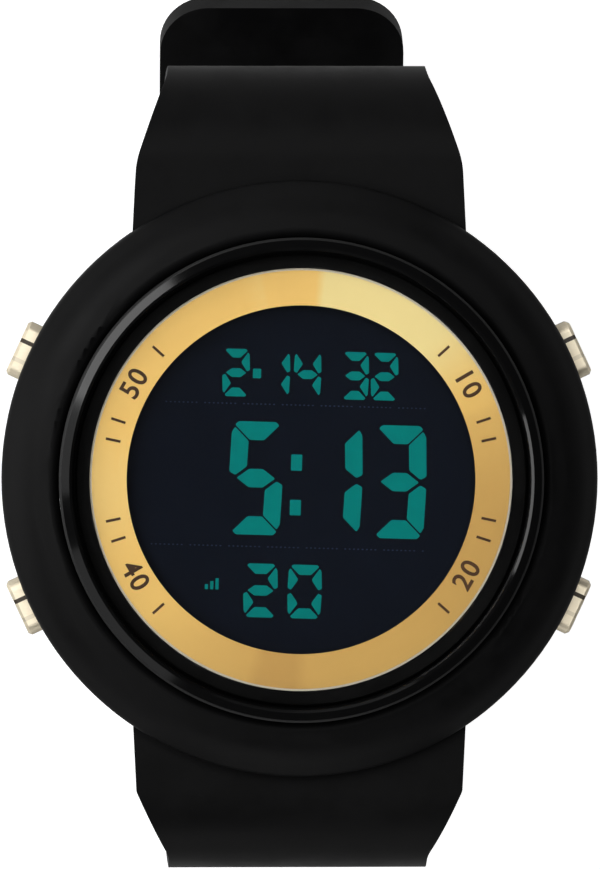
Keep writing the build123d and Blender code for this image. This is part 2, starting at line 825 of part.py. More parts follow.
# Pushers: a gold-coloured cap on a stem, its return spring in the cap's pocket, and the clip
# on the stem's neck that stops it against the guide tube.
cap_inner_r = case_r + pusher_travel + travel_spare
cap_outer_r = ring_outer_r + pusher_stand
pocket_floor_r = cap_inner_r + spring_pocket_depth
clip_place_r = tube_start_r - seat_gap - clip_thickness
spring_start_r = case_r + spring_end_gap + spring_wire / 2
spring_end_r = pocket_floor_r - spring_end_gap - spring_wire / 2
spring_height = spring_end_r - spring_start_r

for name, angle in zip(pusher_names, pusher_angles):
    with BuildPart() as pusher:
        with BuildSketch(radial_plane(angle, cap_inner_r, pusher_z)):
            RectangleRounded(pusher_length, pusher_height, pusher_corner_r)
        extrude(amount=cap_outer_r - cap_inner_r)
        outer_face = pusher.faces().sort_by(Axis((0, 0, 0), radial_plane(angle, 0, 0).z_dir))[-1]
        chamfer(outer_face.edges(), pusher_edge)
        with BuildSketch(radial_plane(angle, cap_outer_r - groove_depth, pusher_z)):
            for place_share in groove_place_shares:
                with Locations((pusher_length * (place_share - 1 / 2), 0)):
                    Rectangle(groove_width, 2 * pusher_height)
        extrude(amount=groove_depth + overrun, mode=Mode.SUBTRACT)
        with BuildSketch(radial_plane(angle, cap_inner_r, pusher_z)):
            Circle(spring_pocket_r)
        extrude(amount=spring_pocket_depth, mode=Mode.SUBTRACT)
        with BuildSketch(radial_plane(angle, stem_end_r, pusher_z)):
            Circle(stem_r)
        extrude(amount=pocket_floor_r - stem_end_r)
        with BuildSketch(radial_plane(angle, clip_place_r, pusher_z)):
            Circle(stem_r + overrun)
            Circle(clip_neck_r, mode=Mode.SUBTRACT)
        extrude(amount=clip_thickness, mode=Mode.SUBTRACT)
    keep(pusher.part, f"pusher_{name}")

    with BuildPart() as pusher_clip:
        with BuildSketch(radial_plane(angle, clip_place_r, pusher_z)):
            Circle(clip_r)
            Circle(clip_neck_r + seat_gap / 2, mode=Mode.SUBTRACT)
            with Locations((0, -clip_r)):
                Rectangle(clip_gap, 2 * clip_r, mode=Mode.SUBTRACT)
        extrude(amount=clip_thickness)
    keep(pusher_clip.part, f"pusher_clip_{name}")

    start_plane = radial_plane(angle, spring_start_r, pusher_z)
    with BuildPart() as pusher_spring:
        with BuildLine():
            coil = Helix(
                pitch=spring_height / spring_turns,
                height=spring_height,
                radius=spring_mean_r,
                center=start_plane.origin,
                direction=start_plane.z_dir,
            )
        with BuildSketch(Plane(origin=coil @ 0, z_dir=coil % 0)):
            Circle(spring_wire / 2)
        sweep(path=coil, is_frenet=True)
    keep(pusher_spring.part, f"pusher_spring_{name}")

# Pockets in the strap roots for the lugs, open towards the case and below.
pocket_end_y = lug_y + lug_reach + lug_fit
pocket_depth = pocket_end_y - strap_root_in_y + overrun
pocket_mid_y = pocket_end_y - pocket_depth / 2


def root_cuts(side):
    """What a strap's root leaves free: the case, two lugs and the strap bar's bore."""
    with BuildPart() as cuts:
        with BuildSketch(Plane.XY):
            Circle(ring_inner_r)
        extrude(amount=bezel_top_z)
        for hand in [1, -1]:
            with BuildSketch(Plane.XY.offset(strap_root_z)):
                with Locations((hand * (lug_inner_x + lug_thickness / 2), side * pocket_mid_y)):
                    Rectangle(lug_thickness + 2 * lug_fit, pocket_depth)
            extrude(amount=lug_z + lug_half_height + lug_fit - strap_root_z)
        with BuildSketch(Plane.YZ):
            with Locations((side * lug_y, lug_z)):
                Circle(strap_bar_r + bar_fit)
        extrude(amount=lug_inner_x, both=True)
    return cuts.part


def edge_cuts(side, bend_y, start, length, shoulder_r, neck_r):
    """What is taken off both edges of a strap, at its shoulders and down to the loop's foot."""
    with BuildPart() as cuts:
        for hand in [1, -1]:
            with BuildSketch(shoulder_plane(side, bend_y)):
                with BuildLine():
                    shoulder_cut_outline(hand, start, length, shoulder_r, neck_r)
                make_face()
            extrude(amount=2 * strap_root_width, both=True)
            with BuildSketch(Plane.YZ.offset(hand * strap_width / 2)):
                with Locations((0, loop_foot_z)):
                    Rectangle(4 * ring_outer_r, 2 * (narrow_z - loop_foot_z))
            extrude(amount=hand * strap_width)
    return cuts.part


# Short strap, at 12 o'clock: root, bend, side, flat end and the eye for the buckle bar.
with BuildPart() as short_strap:
    with BuildSketch(Plane.YZ):
        with BuildLine():
            strap_side_outline(
                1, short_bend_y, short_bend_r, short_corner_r, strap_thickness, short_under_z, pivot_y
            )
        make_face()
        with BuildLine():
            strap_gusset(1, short_bend_y, short_bend_r, strap_thickness)
        make_face()
        with Locations((pivot_y, pivot_z)):
            Circle(boss_r)
    extrude(amount=strap_root_width / 2, both=True)
    short_edges = edge_cuts(
        1, short_bend_y, short_taper_start, short_taper_length, short_shoulder_r, short_neck_r
    )
    add(short_edges, mode=Mode.SUBTRACT)
    add(root_cuts(1), mode=Mode.SUBTRACT)
    with BuildSketch(Plane.YZ):
        with Locations((pivot_y, pivot_z)):
            Circle(bar_bore_r)
    extrude(amount=strap_width, both=True, mode=Mode.SUBTRACT)
    with BuildSketch(Plane.XY.offset(short_under_z - overrun)):
        with Locations((0, pivot_y)):
            Rectangle(boss_slot_width, 2 * (boss_r + tongue_slot_fit))
    extrude(amount=2 * boss_r + 2 * overrun, mode=Mode.SUBTRACT)
keep(short_strap.part, "short_strap")

# Long strap, at 6 o'clock: root, bend, side, flat run through the buckle and keepers, tail.
with BuildPart() as long_strap:
    with BuildSketch(Plane.YZ):
        with BuildLine():
            strap_side_outline(
                -1, long_bend_y, long_bend_r, long_corner_r, tail_thickness, tail_under_z, tail_rise_y
            )
        make_face()
        with BuildLine():
            strap_gusset(-1, long_bend_y, long_bend_r, tail_thickness)
        make_face()
        with BuildLine():
            inner_rise = JernArc(
                (tail_rise_y, tail_over_z), (1, 0), tail_rise_r, tail_rise_angle
            )
            inner_end = JernArc(inner_rise @ 1, inner_rise % 1, tail_end_r, tail_end_angle)
            outer_rise = JernArc(
                (tail_rise_y, tail_under_z),
                (1, 0),
                tail_rise_r + tail_thickness,
                tail_rise_angle,
            )
            outer_end = JernArc(
                outer_rise @ 1, outer_rise % 1, tail_end_r + tail_thickness, tail_end_angle
            )
            Line(inner_rise @ 0, outer_rise @ 0)
            Line(inner_end @ 1, outer_end @ 1)
        make_face()
    extrude(amount=strap_root_width / 2, both=True)
    long_edges = edge_cuts(
        -1, long_bend_y, long_taper_start, long_taper_length, long_shoulder_r, long_neck_r
    )
    add(long_edges, mode=Mode.SUBTRACT)
    for hand in [1, -1]:
        with BuildSketch(Plane.YZ.offset(hand * strap_width / 2)):
            with Locations((2 * ring_outer_r, loop_foot_z)):
                Rectangle(4 * ring_outer_r, -2 * loop_foot_z)
        extrude(amount=hand * strap_width, mode=Mode.SUBTRACT)
    add(root_cuts(-1), mode=Mode.SUBTRACT)
    tip_corners = long_strap.edges().filter_by(
        lambda edge: abs(edge.length - tail_thickness) < seat_gap
    ).group_by(Axis.Y)[-1]
    fillet(tip_corners, tail_tip_corner_r)
    for count in range(-holes_towards_case, holes_on_flat + 1):
        with BuildSketch(Plane.XY.offset(tail_under_z - overrun)):
            with Locations((0, hole_y + count * hole_pitch)):
                RectangleRounded(hole_width, hole_length, hole_corner_r)
        extrude(amount=tail_thickness + 2 * overrun, mode=Mode.SUBTRACT)
    for count in range(1, holes_on_rise + 1):
        past_rise = hole_y + (holes_on_flat + count) * hole_pitch - tail_rise_y
        with BuildSketch(tail_place(past_rise).offset(-tail_thickness - overrun)):
            RectangleRounded(hole_width, hole_length, hole_corner_r)
        extrude(amount=tail_thickness + 2 * overrun, mode=Mode.SUBTRACT)
keep(long_strap.part, "long_strap")

# Two strap bars, each with a narrow tip let into a lug at either end.
with BuildPart() as strap_bars:
    for hand in [1, -1]:
        with BuildSketch(Plane.YZ):
            with Locations((lug_y, lug_z), (-lug_y, lug_z)):
                Circle(strap_bar_r)
        extrude(amount=hand * (lug_inner_x - seat_gap))
        with BuildSketch(Plane.YZ):
            with Locations((lug_y, lug_z), (-lug_y, lug_z)):
                Circle(strap_bar_tip_r)
        extrude(amount=hand * (lug_inner_x + strap_bar_tip_length - seat_gap))
keep(strap_bars.part, "strap_bars")

# Buckle frame: two arms outside the strap's edges and a crossbar with a notch for the tongue.
with BuildPart() as buckle_frame:
    for hand in [1, -1]:
        with BuildSketch(Plane.YZ.offset(hand * frame_inner_x)):
            with BuildLine():
                Polyline(
                    (pivot_y, pivot_z + buckle_arm_r),
                    (pivot_y, pivot_z - buckle_arm_r),
                    (crossbar_y + crossbar_width / 2, loop_foot_z),
                    (crossbar_y - crossbar_width / 2, loop_foot_z),
                    (crossbar_y - crossbar_width / 2, crossbar_top_z),
                    close=True,
                )
            make_face()
            with Locations((pivot_y, pivot_z)):
                Circle(buckle_arm_r)
        extrude(amount=hand * buckle_arm_width)
    with BuildSketch(Plane.YZ):
        with Locations((crossbar_y, (crossbar_top_z + loop_foot_z) / 2)):
            Rectangle(crossbar_width, crossbar_top_z - loop_foot_z)
    extrude(amount=frame_outer_x, both=True)
    frame_far_y = crossbar_y - crossbar_width / 2
    frame_near_y = pivot_y + buckle_arm_r
    with BuildSketch(Plane.XY.offset(loop_foot_z)):
        with Locations((0, (frame_far_y + frame_near_y) / 2)):
            RectangleRounded(2 * frame_outer_x, frame_near_y - frame_far_y, buckle_corner_r)
    extrude(amount=pivot_z + buckle_arm_r - loop_foot_z, mode=Mode.INTERSECT)
    with BuildSketch(Plane.XY.offset(loop_foot_z)):
        with Locations((0, crossbar_y)):
            Rectangle(tongue_width + 2 * tongue_notch_fit, 2 * crossbar_width)
    extrude(amount=crossbar_notch_depth, mode=Mode.SUBTRACT)
    with BuildSketch(Plane.YZ):
        with Locations((pivot_y, pivot_z)):
            Circle(buckle_bar_r)
    extrude(amount=frame_inner_x + bar_seat_depth, both=True, mode=Mode.SUBTRACT)
keep(buckle_frame.part, "buckle_frame")

# Buckle bar, held by the frame's arms, round which frame and tongue turn.
with BuildPart() as buckle_bar:
    with BuildSketch(Plane.YZ):
        with Locations((pivot_y, pivot_z)):
            Circle(buckle_bar_r)
    extrude(amount=frame_inner_x + bar_seat_depth, both=True)
keep(buckle_bar.part, "buckle_bar")

# Tongue: an eye on the bar, a steep neck through the strap and a flat tip in the notch.
tongue_slope = radians(tongue_kink_angle)
neck_half = tongue_thickness / 2
neck_side = (neck_half * sin(tongue_slope), neck_half * cos(tongue_slope))
blade_top_z = tail_under_z - crossbar_gap
blade_under_z = blade_top_z - tongue_thickness
tip_top_z = loop_foot_z + crossbar_notch_depth - seat_gap
tip_near_y = crossbar_y + crossbar_width / 2 + tongue_notch_fit
tip_far_y = crossbar_y - crossbar_width / 2 - tongue_tip_overhang


def neck_y(height, hand):
    """Y of the neck's face on one side (1 towards the strap's tail) at a height."""
    run = (pivot_z + hand * neck_side[1] - height) / sin(tongue_slope) * cos(tongue_slope)
    return pivot_y + hand * neck_side[0] - run


with BuildPart() as buckle_tongue:
    with BuildSketch(Plane.YZ):
        with Locations((pivot_y, pivot_z)):
            Circle(tongue_eye_r)
        with BuildLine():
            Polyline(
                (pivot_y - neck_side[0], pivot_z + neck_side[1]),
                (neck_y(blade_top_z, -1), blade_top_z),
                (tip_near_y, tip_top_z),
                (tip_far_y, tip_top_z),
                (tip_far_y, tip_top_z - tongue_tip_thickness),
                (tip_near_y, tip_top_z - tongue_tip_thickness),
                (neck_y(blade_under_z, 1), blade_under_z),
                (pivot_y + neck_side[0], pivot_z - neck_side[1]),
                close=True,
            )
        make_face()
        with Locations((pivot_y, pivot_z)):
            Circle(bar_bore_r, mode=Mode.SUBTRACT)
    extrude(amount=tongue_width / 2, both=True)
keep(buckle_tongue.part, "buckle_tongue")


def keeper_outline(outer_wall):
    """Section of a silicone loop round both straps, drawn across the strap."""
    inner_half = strap_width / 2 + keeper_fit
    inner_under_z = tail_under_z - keeper_fit
    inner_over_z = short_over_z + keeper_fit
    outer_under_z = inner_under_z - outer_wall
    outer_over_z = inner_over_z + keeper_inner_wall
    with Locations((0, (outer_under_z + outer_over_z) / 2)):
        RectangleRounded(
            2 * (inner_half + keeper_side_wall), outer_over_z - outer_under_z, keeper_corner_r
        )
    with Locations((0, (inner_under_z + inner_over_z) / 2)):
        RectangleRounded(
            2 * inner_half, inner_over_z - inner_under_z, keeper_fit, mode=Mode.SUBTRACT
        )


# Fixed keeper, next to the buckle, and free keeper, which slides along both straps.
with BuildPart() as fixed_keeper:
    with BuildSketch(Plane.XZ.offset(-fixed_keeper_y)):
        keeper_outline(keeper_outer_wall)
    extrude(amount=keeper_width / 2, both=True)
keep(fixed_keeper.part, "fixed_keeper")

with BuildPart() as free_keeper:
    with BuildSketch(Plane.XZ.offset(-free_keeper_y)):
        keeper_outline(keeper_outer_wall - free_keeper_clear)
    extrude(amount=keeper_width / 2, both=True)
keep(free_keeper.part, "free_keeper")
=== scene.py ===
"""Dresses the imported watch: soft silicone edges, display digits, dial numbers and finishes."""

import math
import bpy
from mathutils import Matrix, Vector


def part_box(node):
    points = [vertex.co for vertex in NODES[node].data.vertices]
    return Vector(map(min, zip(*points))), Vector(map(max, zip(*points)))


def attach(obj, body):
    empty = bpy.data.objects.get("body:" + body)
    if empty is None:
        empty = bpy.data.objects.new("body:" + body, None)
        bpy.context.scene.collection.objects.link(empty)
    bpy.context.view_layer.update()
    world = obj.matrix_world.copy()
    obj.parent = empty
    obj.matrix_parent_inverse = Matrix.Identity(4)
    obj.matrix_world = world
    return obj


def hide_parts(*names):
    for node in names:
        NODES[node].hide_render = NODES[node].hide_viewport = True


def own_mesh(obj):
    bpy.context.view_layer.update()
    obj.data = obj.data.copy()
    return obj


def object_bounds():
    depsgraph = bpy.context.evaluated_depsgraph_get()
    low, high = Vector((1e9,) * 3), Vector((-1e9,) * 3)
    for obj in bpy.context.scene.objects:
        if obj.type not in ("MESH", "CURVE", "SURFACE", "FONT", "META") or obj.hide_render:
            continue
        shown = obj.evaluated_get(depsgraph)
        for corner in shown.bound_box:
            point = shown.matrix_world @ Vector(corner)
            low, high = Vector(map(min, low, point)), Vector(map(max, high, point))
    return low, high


bl_info = {
    "name": "Round digital watch",
    "version": (1, 0, 0),
    "blender": (4, 5, 0),
    "location": "3D View > Sidebar > Watch",
    "description": "Adds a digital watch's display, dial numbers, soft edges and finishes",
    "category": "Object",
}

import bmesh
import bpy
from mathutils import Matrix, Vector

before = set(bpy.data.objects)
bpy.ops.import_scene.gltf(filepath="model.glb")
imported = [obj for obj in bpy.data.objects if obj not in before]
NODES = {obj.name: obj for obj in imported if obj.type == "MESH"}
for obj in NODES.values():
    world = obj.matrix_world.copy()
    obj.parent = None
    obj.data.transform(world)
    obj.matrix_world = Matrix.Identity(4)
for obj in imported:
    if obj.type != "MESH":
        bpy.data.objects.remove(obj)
CAD_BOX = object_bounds()
MM = 0.001
UP = Vector((0.0, 0.0, 1.0))
NOON = Vector((0.0, 1.0, 0.0))
# Angle of each pusher round the dial, in degrees from 3 o'clock.
PUSHERS = {"upper_right": 25, "upper_left": 155, "lower_left": 205, "lower_right": -25}

# Which of the seven segments each digit lights: a top, b and c right, d bottom,
# e and f left, g middle.
LIT = {
    "0": "abcdef", "1": "bc", "2": "abged", "3": "abgcd", "4": "fgbc",
    "5": "afgcd", "6": "afgedc", "7": "abc", "8": "abcdefg", "9": "abcdfg",
}

# Closer points than this are joined, flatter edges vanish, and sharper ones are rounded.
JOIN_DISTANCE = 2e-6
FLAT_ANGLE = math.radians(1.0)
ROUNDED_ANGLE = math.radians(25.0)
# Steeper edges than these stay sharp in the shading of rounded and of turned pieces.
SOFT_SHADING_ANGLE = math.radians(35.0)
TURNED_SHADING_ANGLE = math.radians(15.0)
# Depth of the relief that the bumps draw, and the range that most brushing lines cover.
GRAIN_RELIEF = 0.00004
BRUSH_RELIEF = 0.00001
LINE_RANGE = (0.2, 0.8)


def length(name, default, description):
    """A length property in metres."""
    return bpy.props.FloatProperty(
        name=name, description=description, default=default, min=0.0, precision=5,
        subtype="DISTANCE", unit="LENGTH",
    )


def colour(name, default, description):
    """A colour property in linear RGB."""
    return bpy.props.FloatVectorProperty(
        name=name, description=description, default=default, min=0.0, max=1.0, size=3,
        subtype="COLOR",
    )


def digits(name, default, description):
    """A text property for a row of digits."""
    return bpy.props.StringProperty(name=name, description=description, default=default)


class WatchSizes(bpy.types.PropertyGroup):
    """Lengths of the pieces that are made here."""

    strap_edge: length("Strap edge", 0.00055, "Radius of the strap's moulded edges")
    ring_edge: length("Ring edge", 0.0003, "Radius of the edges of the silicone ring's openings")
    keeper_edge: length("Keeper edge", 0.0004, "Radius of the keepers' edges")
    metal_edge: length("Metal edge", 0.00022, "Radius of the buckle's edges")
    crystal_bevel: length("Crystal bevel", 0.00015, "Width of the crystal's polished bevel")
    border_lift: length("Border lift", 0.00003, "Gap between the crystal's border and its seal")
    bezel_flank: length("Bezel flank", 0.0002, "Width of the matt flank outside the bezel")
    dial_ring_fall: length("Dial ring fall", 0.00026, "How far its face falls outwards")
    dial_ring_chamfer: length("Dial ring chamfer", 0.00018, "Width of its bright chamfer")
    display_overlap: length("Display overlap", 0.00045, "How far the dial ring covers the glass")
    ring_fall: length("Ring fall", 0.0009, "How far its top falls to its rim")
    ring_grip: length("Ring grip", 0.00017, "How far its mouth is drawn in")
    ring_grip_width: length("Ring grip width", 0.0009, "Width round the mouth that is drawn in")
    print_height: length("Print height", 0.00001, "Thickness of segments and ink")
    pusher_band_length: length("Pusher band", 0.0022, "Length of the bands over a pusher's sides")
    pusher_travel: length("Pusher travel", 0.0007, "How far a pusher goes in")
    groove_depth: length("Groove depth", 0.0003, "Depth of the grooves in a pusher's outer face")
    number_height: length("Number height", 0.00162, "Height of the dial ring's numbers")
    number_radius: length("Number radius", 0.01602, "Distance from the dial's centre")
    number_stroke: length("Number stroke", 0.00004, "How much the strokes are thickened")
    tick_width: length("Tick width", 0.00022, "Width of the minute ticks")
    tick_length: length("Tick length", 0.00125, "Length of the minute ticks")


class WatchDisplay(bpy.types.PropertyGroup):
    """What the display shows, and how it lies in the case."""

    clock: digits("Clock", "513", "Digits of the middle row")
    date: digits("Date", "21432", "Digits of the upper row")
    count: digits("Count", "20", "Digits of the lower row")
    turn: bpy.props.FloatProperty(
        name="Turn", description="How far the display is turned in its seat",
        default=math.radians(-1.63), subtype="ANGLE", unit="ROTATION",
    )


class WatchColours(bpy.types.PropertyGroup):
    """Base colours of the finishes."""

    silicone: colour("Silicone", (0.0034, 0.0034, 0.0036), "Black silicone of strap and ring")
    shell: colour("Shell", (0.0036, 0.0036, 0.0038), "Gloss black shell and bezel")
    border: colour("Border", (0.0015, 0.0015, 0.0015), "Black border under the crystal's rim")
    gold: colour("Gold", (1.0, 0.64, 0.18), "Dial ring")
    # The next two colours are painted highlight and painted shade, mixed into the dial ring's
    # base colour as a painted reflection round the dial.
    gold_painted_highlight: colour("Light gold", (1.0, 0.81, 0.34), "Bright side of the dial ring's sheen")
    gold_painted_shade: colour("Dark gold", (0.74, 0.43, 0.12), "Dark side of the dial ring's sheen")
    pale_gold: colour("Pale gold", (1.0, 0.91, 0.72), "Pushers")
    groove: colour("Groove", (0.035, 0.022, 0.008), "Dark groove of the pushers")
    ink: colour("Ink", (0.06, 0.028, 0.012), "Numbers on the dial ring")
    display: colour("Display", (0.0026, 0.0042, 0.0088), "Dark face of the display")
    segment: colour("Segment", (0.0, 0.235, 0.212), "Lit segments of the display")
    steel: colour("Steel", (0.56, 0.57, 0.58), "Case back, bars and screws")
    floor: colour("Floor", (0.86, 0.86, 0.86), "Pale floor")


# The scene's properties that hold the values.
VALUES = {
    "watch_sizes": WatchSizes, "watch_display": WatchDisplay, "watch_colours": WatchColours,
}


# Shader building.


class Graph:
    """A node tree with short calls for adding nodes and links."""

    def __init__(self, tree):
        self.tree = tree
        self.column = 0

    def add(self, kind, **inputs):
        """A new node and its inputs, named with underscores for spaces."""
        node = self.tree.nodes.new(kind)
        self.column += 1
        node.location = (180 * self.column, -120 * (self.column % 5))
        for name, value in inputs.items():
            self.put(node, name.replace("_", " "), value)
        return node

    def put(self, node, name, value):
        """Link a socket to a node's input, or set the input to a value."""
        socket = node.inputs[name]
        if isinstance(value, bpy.types.NodeSocket):
            self.tree.links.new(value, socket)
        else:
            socket.default_value = value

    def math(self, operation, a, b=0.0, c=0.0):
        node = self.add("ShaderNodeMath")
        node.operation = operation
        for index, value in enumerate((a, b, c)):
            self.put(node, index, value)
        return node.outputs[0]

    def between(self, share, low, high):
        """A value between two, by a share."""
        return self.math("MULTIPLY_ADD", share, self.math("SUBTRACT", high, low), low)

    def spread(self, value, low, high, to_low=0.0, to_high=1.0):
        """A value with one range stretched over another, and cut at its ends."""
        node = self.add(
            "ShaderNodeMapRange", Value=value, From_Min=low, From_Max=high,
            To_Min=to_low, To_Max=to_high,
        )
        return node.outputs["Result"]

    def point(self, x, y, z):
        return self.add("ShaderNodeCombineXYZ", X=x, Y=y, Z=z).outputs[0]

    def noise(self, vector, scale, detail, roughness):
        node = self.add(
            "ShaderNodeTexNoise", Vector=vector, Scale=scale, Detail=detail, Roughness=roughness
        )
        return node.outputs["Fac"]

    def mix(self, share, first, second):
        """A colour between two, each a socket or three channels."""
        node = self.add("ShaderNodeMix")
        node.data_type = "RGBA"
        self.put(node, 0, share)
        for index, value in ((6, first), (7, second)):
            is_socket = isinstance(value, bpy.types.NodeSocket)
            self.put(node, index, value if is_socket else (*value, 1.0))
        return node.outputs[2]


def new_group(name, inputs, outputs):
    """An empty shader group with number sockets: inputs are (name, default)."""
    group = bpy.data.node_groups.new(name, "ShaderNodeTree")
    number = "NodeSocketFloat"
    for label, default in inputs:
        socket = group.interface.new_socket(label, in_out="INPUT", socket_type=number)
        socket.default_value = default
    for label in outputs:
        group.interface.new_socket(label, in_out="OUTPUT", socket_type=number)
    graph = Graph(group)
    start = graph.add("NodeGroupInput")
    end = group.nodes.new("NodeGroupOutput")
    end.location = (2400, 0)
    return graph, start.outputs, end


def object_point(graph):
    """Object coordinates, which are the row's own, in metres."""
    return graph.add("ShaderNodeTexCoord").outputs["Object"]


def round_place(graph):
    """Distance from the dial's axis, angle round it from 3 o'clock, and height."""
    x, y, z = graph.add("ShaderNodeSeparateXYZ", Vector=object_point(graph)).outputs
    square = graph.math("MULTIPLY_ADD", x, x, graph.math("MULTIPLY", y, y))
    return graph.math("SQRT", square), graph.math("ARCTAN2", y, x), z


def moulded_skin():
    """Fine matt grain of moulded silicone or plastic, with faint handling marks."""
    graph, given, end = new_group(
        "Moulded skin",
        [("Grain size", 0.00012), ("Grain depth", 0.5), ("Smooth", 0.42), ("Rough", 0.58)],
        ["Roughness", "Height", "Marks"],
    )
    point = object_point(graph)
    density = graph.math("DIVIDE", 1.0, given["Grain size"])
    fine = graph.noise(point, density, detail=3.0, roughness=0.6)
    broad = graph.noise(point, 260.0, detail=4.0, roughness=0.65)
    soft = graph.noise(point, 55.0, detail=2.0, roughness=0.5)
    marks = graph.spread(graph.math("MULTIPLY", broad, soft), 0.18, 0.36)
    rough = graph.between(marks, given["Smooth"], given["Rough"])
    graph.put(end, "Roughness", graph.math("MULTIPLY_ADD", fine, 0.06, rough))
    graph.put(end, "Height", graph.math("MULTIPLY", fine, given["Grain depth"]))
    graph.put(end, "Marks", marks)
    return graph.tree


def put_lines(graph, end, given, point, roughness):
    """Give a brushing group its lines and their height."""
    lines = graph.noise(point, 1.0, detail=2.0, roughness=roughness)
    graph.put(end, "Lines", lines)
    graph.put(end, "Height", graph.math("MULTIPLY", lines, given["Depth"]))


def turned_brushing():
    """Fine circular brushing round the dial's axis."""
    graph, given, end = new_group(
        "Turned brushing",
        [("Line size", 0.00004), ("Line length", 0.35), ("Depth", 0.5)],
        ["Lines", "Height"],
    )
    reach, around, z = round_place(graph)
    across = graph.math("DIVIDE", graph.math("SUBTRACT", reach, z), given["Line size"])
    along = [
        graph.math("DIVIDE", graph.math(way, around), given["Line length"])
        for way in ("COSINE", "SINE")
    ]
    put_lines(graph, end, given, graph.point(across, *along), 0.55)
    return graph.tree


def drawn_brushing():
    """Straight brushing from 9 to 3 o'clock, for bars, screws and sheet metal."""
    graph, given, end = new_group(
        "Drawn brushing",
        [("Line size", 0.00005), ("Depth", 0.5)],
        ["Lines", "Height"],
    )
    runs_per_metre = 700.0
    x, y, z = graph.add("ShaderNodeSeparateXYZ", Vector=object_point(graph)).outputs
    along = graph.math("MULTIPLY", x, runs_per_metre)
    across = [graph.math("DIVIDE", value, given["Line size"]) for value in (y, z)]
    put_lines(graph, end, given, graph.point(along, *across), 0.6)
    return graph.tree


def handling():
    """Faint smears and dust on polished surfaces."""
    graph, given, end = new_group(
        "Handling",
        [("Clean", 0.03), ("Smeared", 0.12)],
        ["Roughness", "Dust"],
    )
    point = object_point(graph)
    smear = graph.spread(graph.noise(point, 130.0, detail=5.0, roughness=0.6), 0.45, 0.7)
    dust = graph.spread(graph.noise(point, 5200.0, detail=1.0, roughness=0.5), 0.74, 0.8)
    graph.put(end, "Roughness", graph.between(smear, given["Clean"], given["Smeared"]))
    graph.put(end, "Dust", dust)
    return graph.tree


# The shared groups by name, which main() builds.
GROUPS = {}


def place_group(graph, name, **inputs):
    """Put a shared group into a material with its own values."""
    node = graph.add("ShaderNodeGroup")
    node.node_tree = GROUPS[name]
    for label, value in inputs.items():
        graph.put(node, label.replace("_", " "), value)
    return node.outputs


def shaded(colour, share):
    """A colour made darker or lighter by a share."""
    return tuple(channel * share for channel in colour)


def new_material(name, base, roughness, metallic=0.0, specular=0.5):
    """A material with one Principled shader, its constants set on the shader's own sockets."""
    material = bpy.data.materials.new(name)
    material.use_nodes = True
    material.diffuse_color = (*base, 1.0)
    shader = material.node_tree.nodes["Principled BSDF"]
    shader.inputs["Base Color"].default_value = (*base, 1.0)
    shader.inputs["Roughness"].default_value = roughness
    shader.inputs["Metallic"].default_value = metallic
    shader.inputs["Specular IOR Level"].default_value = specular
    return material, Graph(material.node_tree), shader


def bumped(graph, shader, height, strength, distance):
    """Drive the shader's normal from a height."""
    bump = graph.add("ShaderNodeBump", Strength=strength, Distance=distance)
    graph.put(bump, "Height", height)
    graph.put(shader, "Normal", bump.outputs["Normal"])


def roughened(graph, shader, lines, roughness, play):
    """Let brushing lines change the roughness by some play each way."""
    rough = graph.spread(lines, *LINE_RANGE, roughness - play, roughness + play)
    graph.put(shader, "Roughness", rough)


def moulded(name, base, smooth, rough, specular=0.5):
    """Silicone, rubber or moulded plastic with a fine grain."""
    material, graph, shader = new_material(name, base, rough, specular=specular)
    skin = place_group(graph, "Moulded skin", Smooth=smooth, Rough=rough)
    light = tuple(min(1.0, channel * 1.5 + 0.0006) for channel in base)
    graph.put(shader, "Base Color", graph.mix(skin["Marks"], base, light))
    graph.put(shader, "Roughness", skin["Roughness"])
    bumped(graph, shader, skin["Height"], 0.35, GRAIN_RELIEF)
    return material


def brushed_metal(name, base, roughness, group, dark, play, bump, metallic=1.0, **values):
    """Metal whose brushing lines darken it, roughen it by some play and stand out."""
    material, graph, shader = new_material(name, base, roughness, metallic=metallic)
    brushing = place_group(graph, group, Depth=0.4, **values)
    graph.put(shader, "Base Color", graph.mix(brushing["Lines"], shaded(base, dark), base))
    roughened(graph, shader, brushing["Lines"], roughness, play)
    bumped(graph, shader, brushing["Height"], bump, BRUSH_RELIEF)
    return material


def drawn_metal(name, base, roughness):
    """Metal with straight brushing."""
    return brushed_metal(name, base, roughness, "Drawn brushing", 0.82, 0.07, 0.25)


def turned_metal(name, base, roughness, metallic=1.0, line=0.00004):
    """Metal with circular brushing round the dial's axis."""
    return brushed_metal(
        name, base, roughness, "Turned brushing", 0.86, 0.06, 0.2, metallic, Line_size=line
    )


def polished(name, base, clean, smeared, specular=0.5, matt_from=None):
    """Gloss finish with faint smears and a little dust, matt beyond a radius if one is given."""
    material, graph, shader = new_material(name, base, clean, specular=specular)
    marks = place_group(graph, "Handling", Clean=clean, Smeared=smeared)
    dusty = tuple(channel + 0.006 for channel in base)
    graph.put(shader, "Base Color", graph.mix(marks["Dust"], base, dusty))
    rough = marks["Roughness"]
    if matt_from:
        blend, added = 0.00002, 0.45
        reach = round_place(graph)[0]
        matt = graph.spread(reach, matt_from - blend, matt_from + blend, 0.0, added)
        rough = graph.math("ADD", rough, matt)
    graph.put(shader, "Roughness", rough)
    return material


def clear_glass(name, base):
    """Clear glass that lets the lamps through to what lies behind it."""
    material, graph, shader = new_material(name, base, 0.0)
    shader.inputs["Transmission Weight"].default_value = 1.0
    shader.inputs["IOR"].default_value = 1.49
    through = graph.add("ShaderNodeBsdfTransparent")
    choose = graph.add("ShaderNodeMixShader")
    graph.put(choose, 0, graph.add("ShaderNodeLightPath").outputs["Is Shadow Ray"])
    graph.put(choose, 1, shader.outputs["BSDF"])
    graph.put(choose, 2, through.outputs["BSDF"])
    graph.put(material.node_tree.nodes["Material Output"], "Surface", choose.outputs["Shader"])
    return material


# Mesh building.


